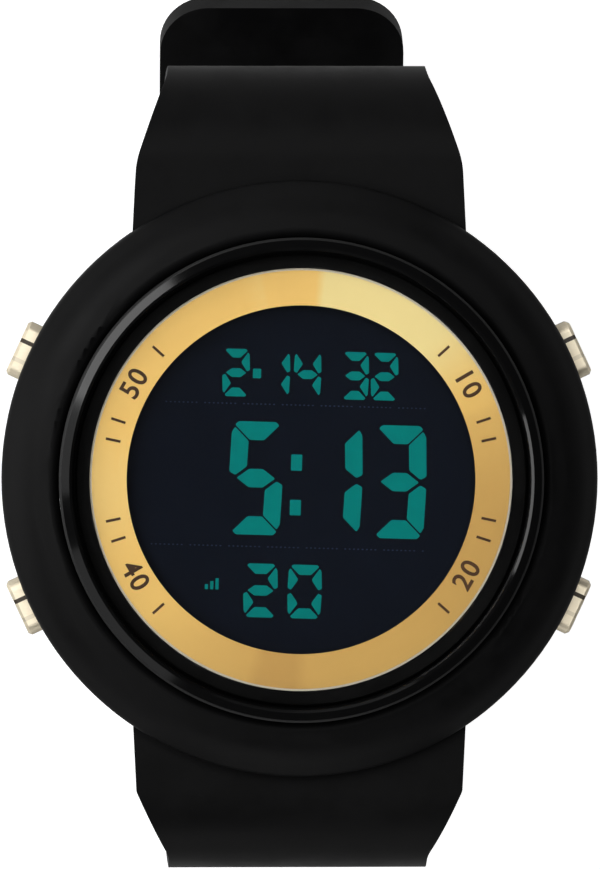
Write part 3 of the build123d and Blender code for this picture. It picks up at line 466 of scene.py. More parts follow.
def to_mesh(name, shape):
    """Turn a finished shape into a mesh."""
    mesh = bpy.data.meshes.new(name)
    shape.to_mesh(mesh)
    shape.free()
    return mesh


def dress(mesh, *materials):
    """Give a mesh its materials in place of those that it has."""
    mesh.materials.clear()
    for material in materials:
        mesh.materials.append(material)


def new_piece(name, mesh, materials, body="case"):
    """A new piece that rides on a body, with the given materials."""
    piece = bpy.data.objects.new(name, mesh)
    bpy.context.scene.collection.objects.link(piece)
    dress(mesh, *materials)
    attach(piece, body)
    return piece


def finish_nodes(material, *nodes):
    """Give CAD nodes a finish."""
    for node in nodes:
        dress(NODES[node].data, material)


def soft_copy(node, name, width, material, body="case", shape_it=None):
    """The node's shape with every sharp edge rounded, in place of the node."""
    shape = bmesh.new()
    shape.from_mesh(NODES[node].data)
    bmesh.ops.remove_doubles(shape, verts=shape.verts, dist=JOIN_DISTANCE)
    bmesh.ops.dissolve_limit(
        shape, angle_limit=FLAT_ANGLE, verts=shape.verts, edges=shape.edges
    )
    edges = [e for e in shape.edges if e.is_manifold and e.calc_face_angle(0) > ROUNDED_ANGLE]
    bmesh.ops.bevel(
        shape, geom=edges, offset=width, offset_type="OFFSET", segments=3, profile=0.5,
        affect="EDGES", clamp_overlap=True,
    )
    bmesh.ops.triangulate(shape, faces=[f for f in shape.faces if len(f.verts) > 4])
    if shape_it:
        for vert in shape.verts:
            vert.co = shape_it(vert.co)
    mesh = to_mesh(name, shape)
    mesh.shade_smooth()
    mesh.set_sharp_from_angle(angle=SOFT_SHADING_ANGLE)
    piece = new_piece(name, mesh, [material], body)
    weigh = piece.modifiers.new("Even shading", "WEIGHTED_NORMAL")
    weigh.keep_sharp = True
    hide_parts(node)


def rounded(points, radius, steps=3):
    """A polygon's points with each corner rounded, or nearly half a side where it is short."""
    side_share = 0.45
    made = []
    count = len(points)
    for index, corner in enumerate(points):
        corner = Vector(corner)
        before = Vector(points[index - 1]) - corner
        after = Vector(points[(index + 1) % count]) - corner
        cut = min(radius, before.length * side_share, after.length * side_share)
        start = corner + before.normalized() * cut
        stop = corner + after.normalized() * cut
        for step in range(steps + 1):
            share = step / steps
            first = start.lerp(corner, share)
            second = corner.lerp(stop, share)
            made.append(first.lerp(second, share))
    return made


def thin_plates(name, outlines, low, height):
    """Flat plates of one thickness, one for each outline, in one mesh."""
    shape = bmesh.new()
    for outline in outlines:
        under = [shape.verts.new((p[0], p[1], low)) for p in outline]
        over = [shape.verts.new((p[0], p[1], low + height)) for p in outline]
        shape.faces.new(over)
        shape.faces.new(list(reversed(under)))
        for index in range(len(outline)):
            following = (index + 1) % len(outline)
            shape.faces.new((under[index], under[following], over[following], over[index]))
    bmesh.ops.recalc_face_normals(shape, faces=shape.faces)
    return to_mesh(name, shape)


def lathe(name, profile, steps):
    """A turned mesh from a profile of (distance from the axis, height)."""
    shape = bmesh.new()
    turns = [2 * math.pi * step / steps for step in range(steps)]
    rings = []
    for out, height in profile:
        if out == 0.0:
            rings.append([shape.verts.new((0.0, 0.0, height))] * steps)
            continue
        places = [(out * math.cos(turn), out * math.sin(turn), height) for turn in turns]
        rings.append([shape.verts.new(place) for place in places])
    for inner, outer in zip(rings, rings[1:]):
        for step in range(steps):
            following = (step + 1) % steps
            corners = [inner[step], inner[following], outer[following], outer[step]]
            shape.faces.new(list(dict.fromkeys(corners)))
    bmesh.ops.recalc_face_normals(shape, faces=shape.faces)
    mesh = to_mesh(name, shape)
    mesh.shade_smooth()
    mesh.set_sharp_from_angle(angle=TURNED_SHADING_ANGLE)
    return mesh


def segment_outlines(style):
    """Outlines of the seven segments of a digit whose lower left corner is at the origin."""
    wide, tall, stroke, gap, corner, straight = style
    middle = tall / 2
    half = stroke / 2
    cut = stroke * 0.19
    low = middle + stroke * 0.63
    high = tall - stroke - gap
    give = (high - low) * (1.0 - straight) / 2
    top = [
        (cut + gap, tall - cut), (2 * cut + gap, tall), (wide - 2 * cut - gap, tall),
        (wide - cut - gap, tall - cut), (wide - stroke - gap, tall - stroke),
        (stroke + gap, tall - stroke),
    ]
    left = [
        (cut * 1.3, tall - cut * 1.3 - gap), (cut * 0.4, tall - stroke * 0.6),
        (0.0, middle + half * 0.65), (half * 0.66, middle + half * 0.3),
        (stroke - gap, low + give), (stroke, high - give),
    ]
    tip, shoulder = half * 0.8, stroke * 1.07
    bar = [
        (tip, middle), (shoulder, middle + half), (wide - shoulder, middle + half),
        (wide - tip, middle), (wide - shoulder, middle - half), (shoulder, middle - half),
    ]

    def over(points):
        return [(x, tall - y) for x, y in points]

    def across(points):
        return [(wide - x, y) for x, y in points]

    shapes = {
        "a": top, "d": over(top), "f": left, "b": across(left), "e": over(left),
        "c": across(over(left)), "g": bar,
    }
    return {key: rounded(points, corner) for key, points in shapes.items()}


def digit_row(text, places, style, y):
    """Outlines of a row of digits, each centred on its place, in display coordinates."""
    shapes = segment_outlines(style)
    wide, tall = style[:2]
    made = []
    for character, x in zip(text, places):
        for key in LIT[character]:
            made.append([(p[0] + x - wide / 2, p[1] + y - tall / 2) for p in shapes[key]])
    return made


def block(x, y, wide, tall, corner):
    """A rectangle's outline with rounded corners, centred on a point."""
    half, high = wide / 2, tall / 2
    points = [
        (x - half, y - high), (x + half, y - high), (x + half, y + high), (x - half, y + high),
    ]
    return rounded(points, corner)


def facing(out, up):
    """A turn whose z axis points outwards and whose x axis lies across the given up."""
    aside = up.cross(out).normalized()
    return Matrix((aside, out.cross(aside), out)).transposed().to_4x4()


def direction(angle):
    """A level direction at an angle from 3 o'clock."""
    return Vector((math.cos(angle), math.sin(angle), 0.0))


# One operator for each piece or group of like pieces.


class WatchStep:
    """What the operators share."""

    bl_options = {"REGISTER", "UNDO"}

    def values(self):
        return [getattr(bpy.context.scene, name) for name in VALUES]


class WATCH_OT_stage(WatchStep, bpy.types.Operator):
    """Pale floor, soft lamps and the camera"""

    bl_idname = "watch.stage"
    bl_label = "Stage"

    FLOOR_REACH, FLOOR_GAP, FLOOR_GLOW = 3.0, 0.0001, 0.85
    # How bright the sky looks to the camera, and how strongly it lights the watch.
    SKY_SEEN, SKY_LIGHT = 1.0, 0.03
    LAMP_DISTANCE = 0.8
    # Azimuth and angle from overhead in degrees, width and height in metres, brightness.
    LAMPS = (
        ("upper_left_softbox", 142, 50, 0.42, 0.50, 2.8),
        ("left_softbox", 172, 50, 0.30, 0.45, 0.6),
        ("lower_left_softbox", 220, 50, 0.45, 0.40, 0.5),
        ("upper_right_panel", 48, 25, 0.22, 0.22, 2.6),
        ("top_panel", 100, 27, 0.26, 0.20, 1.6),
        ("left_panel", 168, 27, 0.44, 0.20, 3.0),
        ("lower_left_panel", 225, 27, 0.20, 0.20, 2.2),
        ("left_fill", 178, 78, 0.60, 0.26, 2.2),
        ("right_fill", 15, 76, 0.60, 0.26, 0.5),
        ("front_fill", 268, 74, 0.80, 0.30, 1.2),
        ("back_fill", 92, 74, 0.80, 0.30, 0.5),
    )
    # Size and brightness of the lamp for the pushers.
    PUSHER_LAMP = (0.5, 1.25)
    # The point that the camera looks at, how far it stands to the left and to the back of
    # overhead, its distance, and its picture's height in pixels of so many metres each.
    AIM = Vector((-0.00008, 0.00377, 0.011))
    YAW, PITCH = math.radians(2.0), math.radians(1.45)
    CAMERA_DISTANCE = 0.65
    PICTURE_PIXELS, PIXEL_SIZE = 869, 0.00008343
    SENSOR = 36.0
    NEAREST, FARTHEST = 0.01, 20.0

    def execute(self, context):
        scene = context.scene
        self.add_floor(scene)
        self.add_lamps(scene)
        self.add_sky(scene)
        self.add_camera(scene)
        scene.view_settings.view_transform = "Standard"
        return {"FINISHED"}

    def add_floor(self, scene):
        """A pale floor under the watch, which glows to the camera only."""
        shape = bmesh.new()
        bmesh.ops.create_grid(shape, x_segments=2, y_segments=2, size=self.FLOOR_REACH)
        floor = bpy.data.objects.new("floor", to_mesh("floor", shape))
        scene.collection.objects.link(floor)
        floor.location.z = CAD_BOX[0].z - self.FLOOR_GAP
        colour = scene.watch_colours.floor
        pale, graph, shader = new_material("pale_floor", colour, 0.9, specular=0.1)
        seen = graph.add("ShaderNodeLightPath").outputs["Is Camera Ray"]
        graph.put(shader, "Emission Strength", graph.math("MULTIPLY", seen, self.FLOOR_GLOW))
        shader.inputs["Emission Color"].default_value = (1.0, 1.0, 1.0, 1.0)
        dress(floor.data, pale)

    def add_lamps(self, scene):
        """Lamps round the watch, and one from overhead for the pushers, which the ring shades."""
        # The crystal's operator takes the crystal out of what this collection's lamps light.
        unglared = bpy.data.collections.new("unglared")
        for name, around, tilt, wide, tall, brightness in self.LAMPS:
            lean = math.radians(tilt)
            out = direction(math.radians(around)) * math.sin(lean) + UP * math.cos(lean)
            place = Matrix.Translation(out * self.LAMP_DISTANCE) @ facing(out, UP)
            receivers = unglared if name.endswith("_fill") else None
            self.add_lamp(scene, name, wide, tall, brightness, place, receivers)
        lit_pushers = bpy.data.collections.new("lit_pushers")
        for name in PUSHERS:
            lit_pushers.objects.link(NODES["pusher_" + name])
        size, brightness = self.PUSHER_LAMP
        overhead = Matrix.Translation(UP * self.LAMP_DISTANCE)
        self.add_lamp(
            scene, "pusher_softbox", size, size, brightness, overhead, lit_pushers
        )

    def add_lamp(self, scene, name, wide, tall, brightness, place, receivers):
        """One soft lamp, which lights everything or only a collection."""
        data = bpy.data.lights.new(name, "AREA")
        data.shape = "RECTANGLE"
        data.size, data.size_y = wide, tall
        data.energy = brightness * math.pi * wide * tall
        lamp = bpy.data.objects.new(name, data)
        lamp.matrix_world = place
        lamp.light_linking.receiver_collection = receivers
        scene.collection.objects.link(lamp)

    def add_sky(self, scene):
        world = bpy.data.worlds.new("studio")
        world.use_nodes = True
        sky = Graph(world.node_tree)
        back = world.node_tree.nodes["Background"]
        back.inputs["Color"].default_value = (1.0, 1.0, 1.0, 1.0)
        seen = sky.add("ShaderNodeLightPath").outputs["Is Camera Ray"]
        added = self.SKY_SEEN - self.SKY_LIGHT
        sky.put(back, "Strength", sky.math("MULTIPLY_ADD", seen, added, self.SKY_LIGHT))
        scene.world = world

    def add_camera(self, scene):
        data = bpy.data.cameras.new("camera")
        camera = bpy.data.objects.new("camera", data)
        scene.collection.objects.link(camera)
        away = Vector((-math.sin(self.YAW), math.sin(self.PITCH), 1.0)).normalized()
        place = Matrix.Translation(self.AIM + away * self.CAMERA_DISTANCE)
        camera.matrix_world = place @ facing(away, NOON)
        data.sensor_width = self.SENSOR
        data.lens = self.SENSOR * self.CAMERA_DISTANCE / (self.PICTURE_PIXELS * self.PIXEL_SIZE)
        data.clip_start, data.clip_end = self.NEAREST, self.FARTHEST
        scene.camera = camera


class WATCH_OT_silicone(WatchStep, bpy.types.Operator):
    """Strap halves, keepers and the ring round the case, with moulded edges"""

    bl_idname = "watch.silicone"
    bl_label = "Silicone strap and ring"

    def execute(self, context):
        sizes, _, colours = self.values()
        silicone = moulded("black_silicone", colours.silicone, 0.44, 0.56, specular=0.14)
        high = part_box("outer_ring")[1]
        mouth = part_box("case_body")[1].x
        flat_share, blend_share = 0.72, 0.2

        def domed(point):
            """Lower the ring's top a little towards its rim, and close its mouth on the case."""
            out = point.xy.length
            share = max(0.0, (out - mouth) / (high.x - mouth))
            over = (point.z - flat_share * high.z) / (blend_share * high.z)
            near_top = min(1.0, max(0.0, over))
            near_top = near_top * near_top * (3.0 - 2.0 * near_top)
            grip = max(0.0, 1.0 - (out - mouth) / sizes.ring_grip_width)
            scale = 1.0 - sizes.ring_grip * grip / out
            fall = sizes.ring_fall * share * near_top
            return Vector((point.x * scale, point.y * scale, point.z - fall))

        for node, edge, body, shape_it in (
            ("short_strap", sizes.strap_edge, "case", None),
            ("long_strap", sizes.strap_edge, "case", None),
            ("outer_ring", sizes.ring_edge, "case", domed),
            ("fixed_keeper", sizes.keeper_edge, "case", None),
            ("free_keeper", sizes.keeper_edge, "keeper", None),
        ):
            soft_copy(node, node + "_soft", edge, silicone, body, shape_it)
        return {"FINISHED"}


class WATCH_OT_case(WatchStep, bpy.types.Operator):
    """Gloss black shell, seals, case back with its screws, and strap bars"""

    bl_idname = "watch.case"
    bl_label = "Case"

    def execute(self, context):
        sizes, _, colours = self.values()
        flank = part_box("case_body")[1].x - sizes.bezel_flank
        shell = polished("gloss_shell", colours.shell, 0.09, 0.15, matt_from=flank)
        seal = moulded("seal_rubber", (0.004, 0.004, 0.004), 0.4, 0.5, specular=0.1)
        turned = turned_metal("turned_steel", colours.steel, 0.3, line=0.00006)
        drawn = drawn_metal("drawn_steel", colours.steel, 0.3)
        finish_nodes(shell, "case_body")
        finish_nodes(seal, "crystal_gasket", "back_gasket", "stem_seals")
        finish_nodes(turned, "case_back")
        finish_nodes(drawn, "back_screws", "strap_bars", "guide_tubes")
        return {"FINISHED"}


class WATCH_OT_crystal(WatchStep, bpy.types.Operator):
    """Clear crystal over the display"""

    bl_idname = "watch.crystal"
    bl_label = "Crystal"

    # From the dial ring's rim to the black border, and how far up the border's normals point
    # at most.
    WINDOW_GAP, BORDER_UP = 0.0001, 0.99

    def execute(self, context):
        sizes, _, colours = self.values()
        glass = clear_glass("clear_crystal", (1.0, 1.0, 1.0))
        black = moulded("crystal_border", colours.border, 0.3, 0.45, specular=0.06)
        low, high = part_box("crystal")
        rim, bevel, lift = high.x, sizes.crystal_bevel, sizes.border_lift
        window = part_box("dial_ring")[1].x + self.WINDOW_GAP
        profile = [
            (0.0, low.z), (window - lift, low.z), (window, low.z + lift),
            (rim - bevel, low.z + lift), (rim, low.z + lift + bevel),
            (rim, high.z - bevel), (rim - bevel, high.z), (window, high.z), (0.0, high.z),
        ]
        mesh = lathe("clear_crystal", profile, steps=144)
        piece = new_piece("crystal_bevelled", mesh, [glass, black])
        for face in mesh.polygons:
            if face.center.xy.length > window and face.normal.z < self.BORDER_UP:
                face.material_index = 1
        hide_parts("crystal")
        # The low fill lamps would show in the crystal as a white glare from the side.
        unglared = bpy.data.collections["unglared"]
        unglared.objects.link(piece)
        unglared.collection_objects[0].light_linking.link_state = "EXCLUDE"
        return {"FINISHED"}


class WATCH_OT_dial_ring(WatchStep, bpy.types.Operator):
    """Gold-coloured dial ring with plain minute numbers and ticks"""

    bl_idname = "watch.dial_ring"
    bl_label = "Dial ring and numbers"

    # Waves of the painted reflection round the dial, which lighten and darken the gold's base
    # colour: how many, how strong, and the angle of a crest.
    PAINTED_SHEEN_WAVES = ((1, 0.32, 120.0), (2, 0.12, 55.0), (3, 0.15, 66.3))
    # Patches of painted highlight and painted shade in the gold's base colour: centre, half width
    # and softness in degrees, and strength.
    PAINTED_SHEEN_PATCHES = ((53.0, 30.0, 3.0, 0.22), (92.0, 7.0, 2.5, -0.34), (-97.0, 7.0, 2.0, -0.2))
    LINE_STRENGTH = 0.16
    # The chamfer's fall for its width, and how far up the normals of the ring's sides and of
    # its chamfer point at most.
    CHAMFER_SHARE, SIDE_UP, CHAMFER_UP = 0.4, 0.3, 0.97
    # Number, angle from 3 o'clock and own turn in degrees, and which way its ticks go.
    NUMBERS = (("10", 30, -90, -1), ("20", -30, 90, 1), ("40", 210, 90, -1), ("50", 150, -90, 1))
    # Height of a figure beside its font's size, and space between figures.
    FIGURE_SHARE, FIGURE_SPACE = 0.70, 1.12
    # Degrees of one minute, and the minutes from each number that have a tick.
    MINUTE, TICKS = 6, (-2, 2, 3)

    def execute(self, context):
        sizes, _, colours = self.values()
        low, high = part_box("dial_ring")
        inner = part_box("front_glass")[1].x - sizes.display_overlap
        gold = self.painted_sheen(colours)
        # The chamfer gets a paler, less metallic gold: a painted highlight along the ring's outer
        # edge.
        bright = turned_metal("gold_chamfer", colours.pale_gold, 0.45, metallic=0.2)
        # The gold ring's upright sides get near-black: painted shade where the gold ends at its
        # edges.
        inside = moulded("ring_inside", colours.shell, 0.5, 0.6, specular=0.05)
        fall, chamfer = sizes.dial_ring_fall, sizes.dial_ring_chamfer
        outer = high.x - chamfer
        profile = [
            (inner, low.z), (inner, high.z), (outer, high.z - fall),
            (high.x, high.z - fall - self.CHAMFER_SHARE * chamfer), (high.x, low.z),
            (inner, low.z),
        ]
        mesh = lathe("dial_ring_turned", profile, steps=180)
        piece = new_piece("dial_ring_turned", mesh, [gold, bright, inside])
        # Upright sides take the painted shade, the chamfer the painted highlight.
        for face in mesh.polygons:
            if face.normal.z < self.SIDE_UP:
                face.material_index = 2
            elif face.normal.z < self.CHAMFER_UP:
                face.material_index = 1
        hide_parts("dial_ring")

        def laid(point):
            """Lay a point of the print on the ring's slightly falling face."""
            share = (point.xy.length - inner) / (outer - inner)
            return Vector((point.x, point.y, point.z + high.z - fall * share))

        ink = moulded("brown_ink", colours.ink, 0.5, 0.6, specular=0.2)
        for mesh in (self.numbers(sizes), self.ticks(sizes)):
            for vert in mesh.vertices:
                vert.co = laid(vert.co)
            new_piece(mesh.name, mesh, [ink])
        return {"FINISHED"}

    def painted_sheen(self, colours):
        """Satin gold whose base colour carries a painted reflection, lighter on one side of the
        dial than on the other.
        """
        gold, graph, shader = new_material("brushed_gold", colours.gold, 0.38, metallic=0.35)
        brushing = place_group(graph, "Turned brushing", Depth=1.0)
        around = round_place(graph)[1]
        # Painted reflection: waves and patches round the dial make a level that picks the painted
        # shade, the plain gold or the painted highlight.
        level = 0.5
        for count, strength, crest in self.PAINTED_SHEEN_WAVES:
            lag = graph.math("MULTIPLY_ADD", around, float(count), -math.radians(count * crest))
            level = graph.math("MULTIPLY_ADD", graph.math("COSINE", lag), strength, level)
        for centre, half, soft, strength in self.PAINTED_SHEEN_PATCHES:
            off = graph.math("ABSOLUTE", graph.math("SUBTRACT", around, math.radians(centre)))
            patch = graph.spread(off, math.radians(half + soft), math.radians(half - soft))
            level = graph.math("MULTIPLY_ADD", patch, strength, level)
        level = graph.math("SUBTRACT", level, self.LINE_STRENGTH / 2)
        level = graph.math("MULTIPLY_ADD", brushing["Lines"], self.LINE_STRENGTH, level)
        # Mix the painted shade, the gold and the painted highlight by that level.
        shade = graph.mix(graph.spread(level, 0.0, 0.5), colours.gold_painted_shade, colours.gold)
        shade = graph.mix(graph.spread(level, 0.7, 1.0), shade, colours.gold_painted_highlight)
        graph.put(shader, "Base Color", shade)
        roughened(graph, shader, brushing["Lines"], 0.38, 0.06)
        bumped(graph, shader, brushing["Height"], 0.2, BRUSH_RELIEF)
        return gold

    def numbers(self, sizes):
        """The numbers round the dial, at height zero."""
        joined = bmesh.new()
        for number, angle, turn, _ in self.NUMBERS:
            curve = bpy.data.curves.new("number_" + number, "FONT")
            curve.body = number
            curve.size = sizes.number_height / self.FIGURE_SHARE
            curve.align_x = curve.align_y = "CENTER"
            curve.extrude = sizes.print_height / 2
            curve.space_character = self.FIGURE_SPACE
            curve.offset = sizes.number_stroke
            curve.resolution_u = 6
            holder = bpy.data.objects.new("number", curve)
            bpy.context.scene.collection.objects.link(holder)
            bpy.context.view_layer.update()
            graph = bpy.context.evaluated_depsgraph_get()
            mesh = bpy.data.meshes.new_from_object(holder.evaluated_get(graph))
            mesh.transform(
                Matrix.Rotation(math.radians(angle), 4, "Z")
                @ Matrix.Translation((sizes.number_radius, 0.0, sizes.print_height / 2))
                @ Matrix.Rotation(math.radians(turn), 4, "Z")
            )
            joined.from_mesh(mesh)
            bpy.data.objects.remove(holder)
        return to_mesh("dial_numbers", joined)

    def ticks(self, sizes):
        """The minute ticks beside the numbers, at height zero."""
        outlines = []
        for _, centre, _, way in self.NUMBERS:
            for step in self.TICKS:
                along = direction(math.radians(centre + way * self.MINUTE * step))
                aside = UP.cross(along) * sizes.tick_width / 2
                near = along * (sizes.number_radius - sizes.tick_length / 2)
                far = along * (sizes.number_radius + sizes.tick_length / 2)
                outlines.append([near - aside, far - aside, far + aside, near + aside])
        return thin_plates("dial_ticks", outlines, 0.0, sizes.print_height)


class WATCH_OT_display(WatchStep, bpy.types.Operator):
    """Dark display with its lit segments and faint dividing lines"""

    bl_idname = "watch.display"
    bl_label = "Display"

    # Of each row's digits: width, height, stroke, gap between the segments and corner radius
    # in millimetres, and the straight share of the upright strokes' inner edge.
    STYLES = {
        "clock": (4.47, 9.46, 1.55, 0.09, 0.14, 1.0),
        "date": (2.30, 3.98, 0.74, 0.09, 0.10, 0.25),
        "count": (2.87, 4.50, 0.86, 0.10, 0.10, 0.3),
    }
    # Each row's height over the display's centre, and its digits' places along it.
    ROWS = {
        "clock": (0.0, (-3.747, 2.932, 8.283)),
        "date": (8.77, (-5.646, -2.281, 0.323, 4.308, 6.772)),
        "count": (-9.375, (-3.095, 0.593)),
    }
    # Centre, width, height and corner radius of the colon, the dash and the rising bars.
    MARKS = {
        "clock": ((-0.38, 1.39, 0.92, 1.36, 0.1), (-0.38, -2.37, 0.92, 1.30, 0.1)),
        "date": ((-3.90, 8.75, 0.68, 0.80, 0.1),),
        "count": (
            (-7.62, -9.17, 0.27, 0.42, 0.05), (-7.18, -9.04, 0.27, 0.68, 0.05),
            (-6.74, -8.91, 0.27, 0.94, 0.05),
        ),
    }
    # The dividing lines' heights, starts and ends, and their dots: how far apart, width,
    # height, corner radius, and which one of so many is left out.
    DIVIDERS = ((6.2, -11.4, 10.6), (-5.71, -12.3, 10.8))
    DOT_PITCH, DOT_WIDTH, DOT_HEIGHT, DOT_CORNER, DOT_GROUP = 0.36, 0.14, 0.10, 0.02, 9

    def execute(self, context):
        sizes, display, colours = self.values()
        dark, segment = colours.display, colours.segment
        face, graph, shader = new_material("display_face", dark, 0.4, specular=0.04)
        fine = graph.noise(object_point(graph), 420.0, detail=3.0, roughness=0.6)
        graph.put(shader, "Base Color", graph.mix(fine, dark, shaded(dark, 1.5)))
        finish_nodes(face, "front_polariser")
        lit, graph, shader = new_material("lit_segment", segment, 0.5, specular=0.03)
        glow = graph.noise(object_point(graph), 900.0, detail=2.0, roughness=0.5)
        graph.put(shader, "Base Color", graph.mix(glow, shaded(segment, 0.86), segment))
        faint = moulded("faint_line", shaded(dark, 8.0), 0.5, 0.6, specular=0.1)

        seat = (
            Matrix.Translation((0.0, 0.0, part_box("front_polariser")[1].z))
            @ Matrix.Rotation(display.turn, 4, "Z") @ Matrix.Scale(MM, 4)
        )
        plates = {row + "_digits": (self.row(row, display), lit) for row in self.ROWS}
        plates["divider_dots"] = (self.dots(), faint)
        for name, (outlines, material) in plates.items():
            mesh = thin_plates(name, outlines, 0.0, sizes.print_height / MM)
            mesh.transform(seat)
            new_piece(name, mesh, [material])
        return {"FINISHED"}

    def row(self, row, display):
        """Outlines of one row: the digits that it shows, and its marks."""
        height, places = self.ROWS[row]
        made = digit_row(getattr(display, row), places, self.STYLES[row], height)
        return made + [block(*mark) for mark in self.MARKS[row]]

    def dots(self):
        """Outlines of the dividing lines' dots."""
        made = []
        for y, first, last in self.DIVIDERS:
            for index in range(round((last - first) / self.DOT_PITCH)):
                if index % self.DOT_GROUP != self.DOT_GROUP - 1:
                    x = first + index * self.DOT_PITCH
                    made.append(block(x, y, self.DOT_WIDTH, self.DOT_HEIGHT, self.DOT_CORNER))
        return made


class WATCH_OT_pushers(WatchStep, bpy.types.Operator):
    """Pale gold push buttons with their banded grooves, clips and springs"""

    bl_idname = "watch.pushers"
    bl_label = "Push buttons"

    # Height of the bands' turned-over edges, and how far the two bands stand off the pusher.
    BAND_EDGE, LIFTS = 0.00025, (0.00002, 0.00001)
    # How near to a groove's floor its corners lie, and the decimals that tell places apart.
    NEAR_FLOOR, DECIMALS = 0.00001, 5

    def execute(self, context):
        sizes, _, colours = self.values()
        pale = self.pale_gold("pale_gold", colours.pale_gold)
        # The second groove is filled and given a slightly darker pale gold: painted shade for the
        # groove's line.
        line = self.pale_gold("groove_line", shaded(colours.pale_gold, 0.8))
        dark = moulded("dark_groove", colours.groove, 0.3, 0.45)
        wire = drawn_metal("spring_wire", (0.52, 0.52, 0.53), 0.24)
        for name, angle in PUSHERS.items():
            out = direction(math.radians(angle))
            finish_nodes(pale, "pusher_" + name)
            finish_nodes(wire, "pusher_clip_" + name)
            self.coil(sizes, name, out, wire)
            self.bands(sizes, "pusher_" + name, out, dark, line)
        return {"FINISHED"}

    def coil(self, sizes, name, out, wire):
        """The pusher's return spring, a copy of the node's mesh that takes the node's place."""
        node = "pusher_spring_" + name
        piece = new_piece(node + "_coil", NODES[node].data.copy(), [wire])
        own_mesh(piece)
        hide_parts(node)

    def pale_gold(self, name, base):
        """Satin pale gold with faint drawn lines."""
        metal, graph, shader = new_material(name, base, 0.38, metallic=0.6, specular=0.7)
        lines = place_group(graph, "Drawn brushing", Depth=0.15, Line_size=0.00008)["Lines"]
        warm = tuple(channel * share for channel, share in zip(base, (0.95, 0.90, 0.80)))
        graph.put(shader, "Base Color", graph.mix(lines, warm, base))
        roughened(graph, shader, lines, 0.38, 0.05)
        return metal

    def bands(self, sizes, node, out, dark, line):
        """Fill the node's two grooves with bands that also lie over its upper and lower sides."""
        aside = UP.cross(out)
        points = [vert.co for vert in NODES[node].data.vertices]
        low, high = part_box(node)
        face = max(point.dot(out) for point in points)
        floor = face - sizes.groove_depth
        marks = sorted({
            round(point.dot(aside), self.DECIMALS) for point in points
            if abs(point.dot(out) - floor) < self.NEAR_FLOOR
        })
        # The dark band fills the groove nearer to 12 o'clock; the light band fills the other with
        # pale gold darkened as painted shade of that groove.
        grooves = sorted(
            (marks[:2], marks[-2:]), key=lambda ends: aside.y * sum(ends), reverse=True
        )
        edge = self.BAND_EDGE
        root, back = face - sizes.pusher_band_length, face - 2 * edge
        for label, (start, stop), material, lift in zip(
            ("dark", "light"), grooves, (dark, line), self.LIFTS
        ):
            outline = [
                (root, high.z - edge), (root, high.z + lift), (face - edge, high.z + lift),
                (face - lift, high.z - edge), (face - lift, low.z + edge),
                (face - edge, low.z - lift), (root, low.z - lift), (root, low.z + edge),
                (back, low.z + edge), (back, high.z - edge),
            ]
            mesh = thin_plates(f"{node}_{label}_band", [outline], -stop, stop - start)
            mesh.transform(Matrix((out, UP, -aside)).transposed().to_4x4())
            band = new_piece(mesh.name, mesh, [material], node)
            bpy.data.collections["lit_pushers"].objects.link(band)


class WATCH_OT_buckle(WatchStep, bpy.types.Operator):
    """Black coated buckle frame, bar and tongue"""

    bl_idname = "watch.buckle"
    bl_label = "Buckle"

    def execute(self, context):
        sizes, _, colours = self.values()
        coated = polished("coated_metal", (0.006, 0.006, 0.0065), 0.22, 0.34, specular=0.6)
        tongue_share = 0.8
        for node, edge, body in (
            ("buckle_frame", sizes.metal_edge, "buckle"),
            ("buckle_tongue", sizes.metal_edge * tongue_share, "tongue"),
        ):
            soft_copy(node, node + "_worn", edge, coated, body)
        finish_nodes(drawn_metal("bar_steel", colours.steel, 0.3), "buckle_bar")
        return {"FINISHED"}


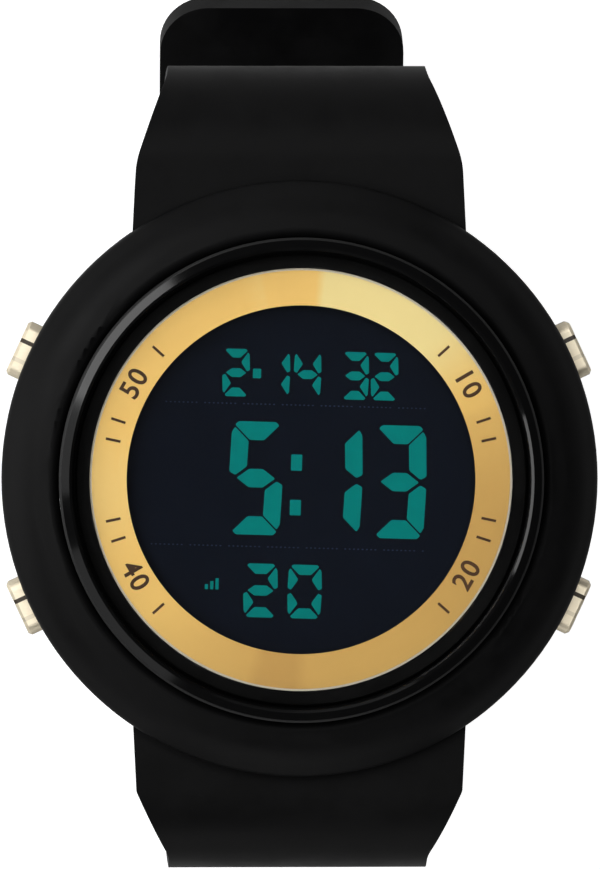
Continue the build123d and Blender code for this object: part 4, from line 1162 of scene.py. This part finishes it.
class WATCH_OT_module(WatchStep, bpy.types.Operator):
    """Finishes of the sealed pieces inside the case"""

    bl_idname = "watch.module"
    bl_label = "Module"

    def execute(self, context):
        plain = {
            "module_frame": moulded("module_plastic", (0.02, 0.02, 0.022), 0.45, 0.6),
            "circuit_board": moulded("board_lacquer", (0.01, 0.09, 0.03), 0.25, 0.4),
            "timing_chip": moulded("chip_resin", (0.006, 0.006, 0.006), 0.3, 0.45),
            "light_panel": moulded("light_film", (0.7, 0.71, 0.66), 0.5, 0.6),
            "connector_strips": moulded("striped_elastomer", (0.25, 0.2, 0.18), 0.5, 0.65),
            "buzzer_ceramic": moulded("silvered_ceramic", (0.68, 0.66, 0.62), 0.35, 0.5),
            "rear_polariser": moulded("polariser_film", (0.02, 0.021, 0.024), 0.2, 0.3),
            "quartz_can": drawn_metal("drawn_can", (0.66, 0.65, 0.62), 0.25),
            "battery": turned_metal("battery_steel", (0.62, 0.62, 0.62), 0.25),
            "battery_strap": drawn_metal("strap_steel", (0.55, 0.55, 0.56), 0.3),
            "booster_coil": turned_metal("wound_copper", (0.55, 0.2, 0.08), 0.35, line=0.0001),
        }
        for node, material in plain.items():
            finish_nodes(material, node)
        brass = drawn_metal("sheet_brass", (0.72, 0.5, 0.2), 0.3)
        finish_nodes(brass, "leaf_contacts", "battery_contact", "buzzer_disc")
        finish_nodes(bpy.data.materials["spring_wire"], "buzzer_spring", "module_screws")
        glass = clear_glass("display_glass", (0.9, 0.95, 0.95))
        finish_nodes(glass, "front_glass", "rear_glass")
        return {"FINISHED"}


STEPS = (
    WATCH_OT_stage, WATCH_OT_silicone, WATCH_OT_case, WATCH_OT_crystal, WATCH_OT_dial_ring,
    WATCH_OT_display, WATCH_OT_pushers, WATCH_OT_buckle, WATCH_OT_module,
)


class WATCH_PT_panel(bpy.types.Panel):
    """Lists the watch's pieces and their values"""

    bl_idname = "WATCH_PT_panel"
    bl_label = "Digital watch"
    bl_space_type = "VIEW_3D"
    bl_region_type = "UI"
    bl_category = "Watch"

    def draw(self, context):
        column = self.layout.column(align=True)
        for step in STEPS:
            column.operator(step.bl_idname, text=step.bl_label)
        for name in VALUES:
            group = getattr(context.scene, name)
            box = self.layout.box()
            for key in group.__annotations__:
                box.prop(group, key)


CLASSES = (*VALUES.values(), *STEPS, WATCH_PT_panel)


def register():
    for item in CLASSES:
        bpy.utils.register_class(item)
    for name, kind in VALUES.items():
        setattr(bpy.types.Scene, name, bpy.props.PointerProperty(type=kind))


def unregister():
    for name in VALUES:
        delattr(bpy.types.Scene, name)
    for item in reversed(CLASSES):
        bpy.utils.unregister_class(item)


def main():
    register()
    for builder in (moulded_skin, turned_brushing, drawn_brushing, handling):
        group = builder()
        GROUPS[group.name] = group
    for step in STEPS:
        name = step.bl_idname.split(".")[1]
        getattr(bpy.ops.watch, name)()


if __name__ == "__main__":
    main()
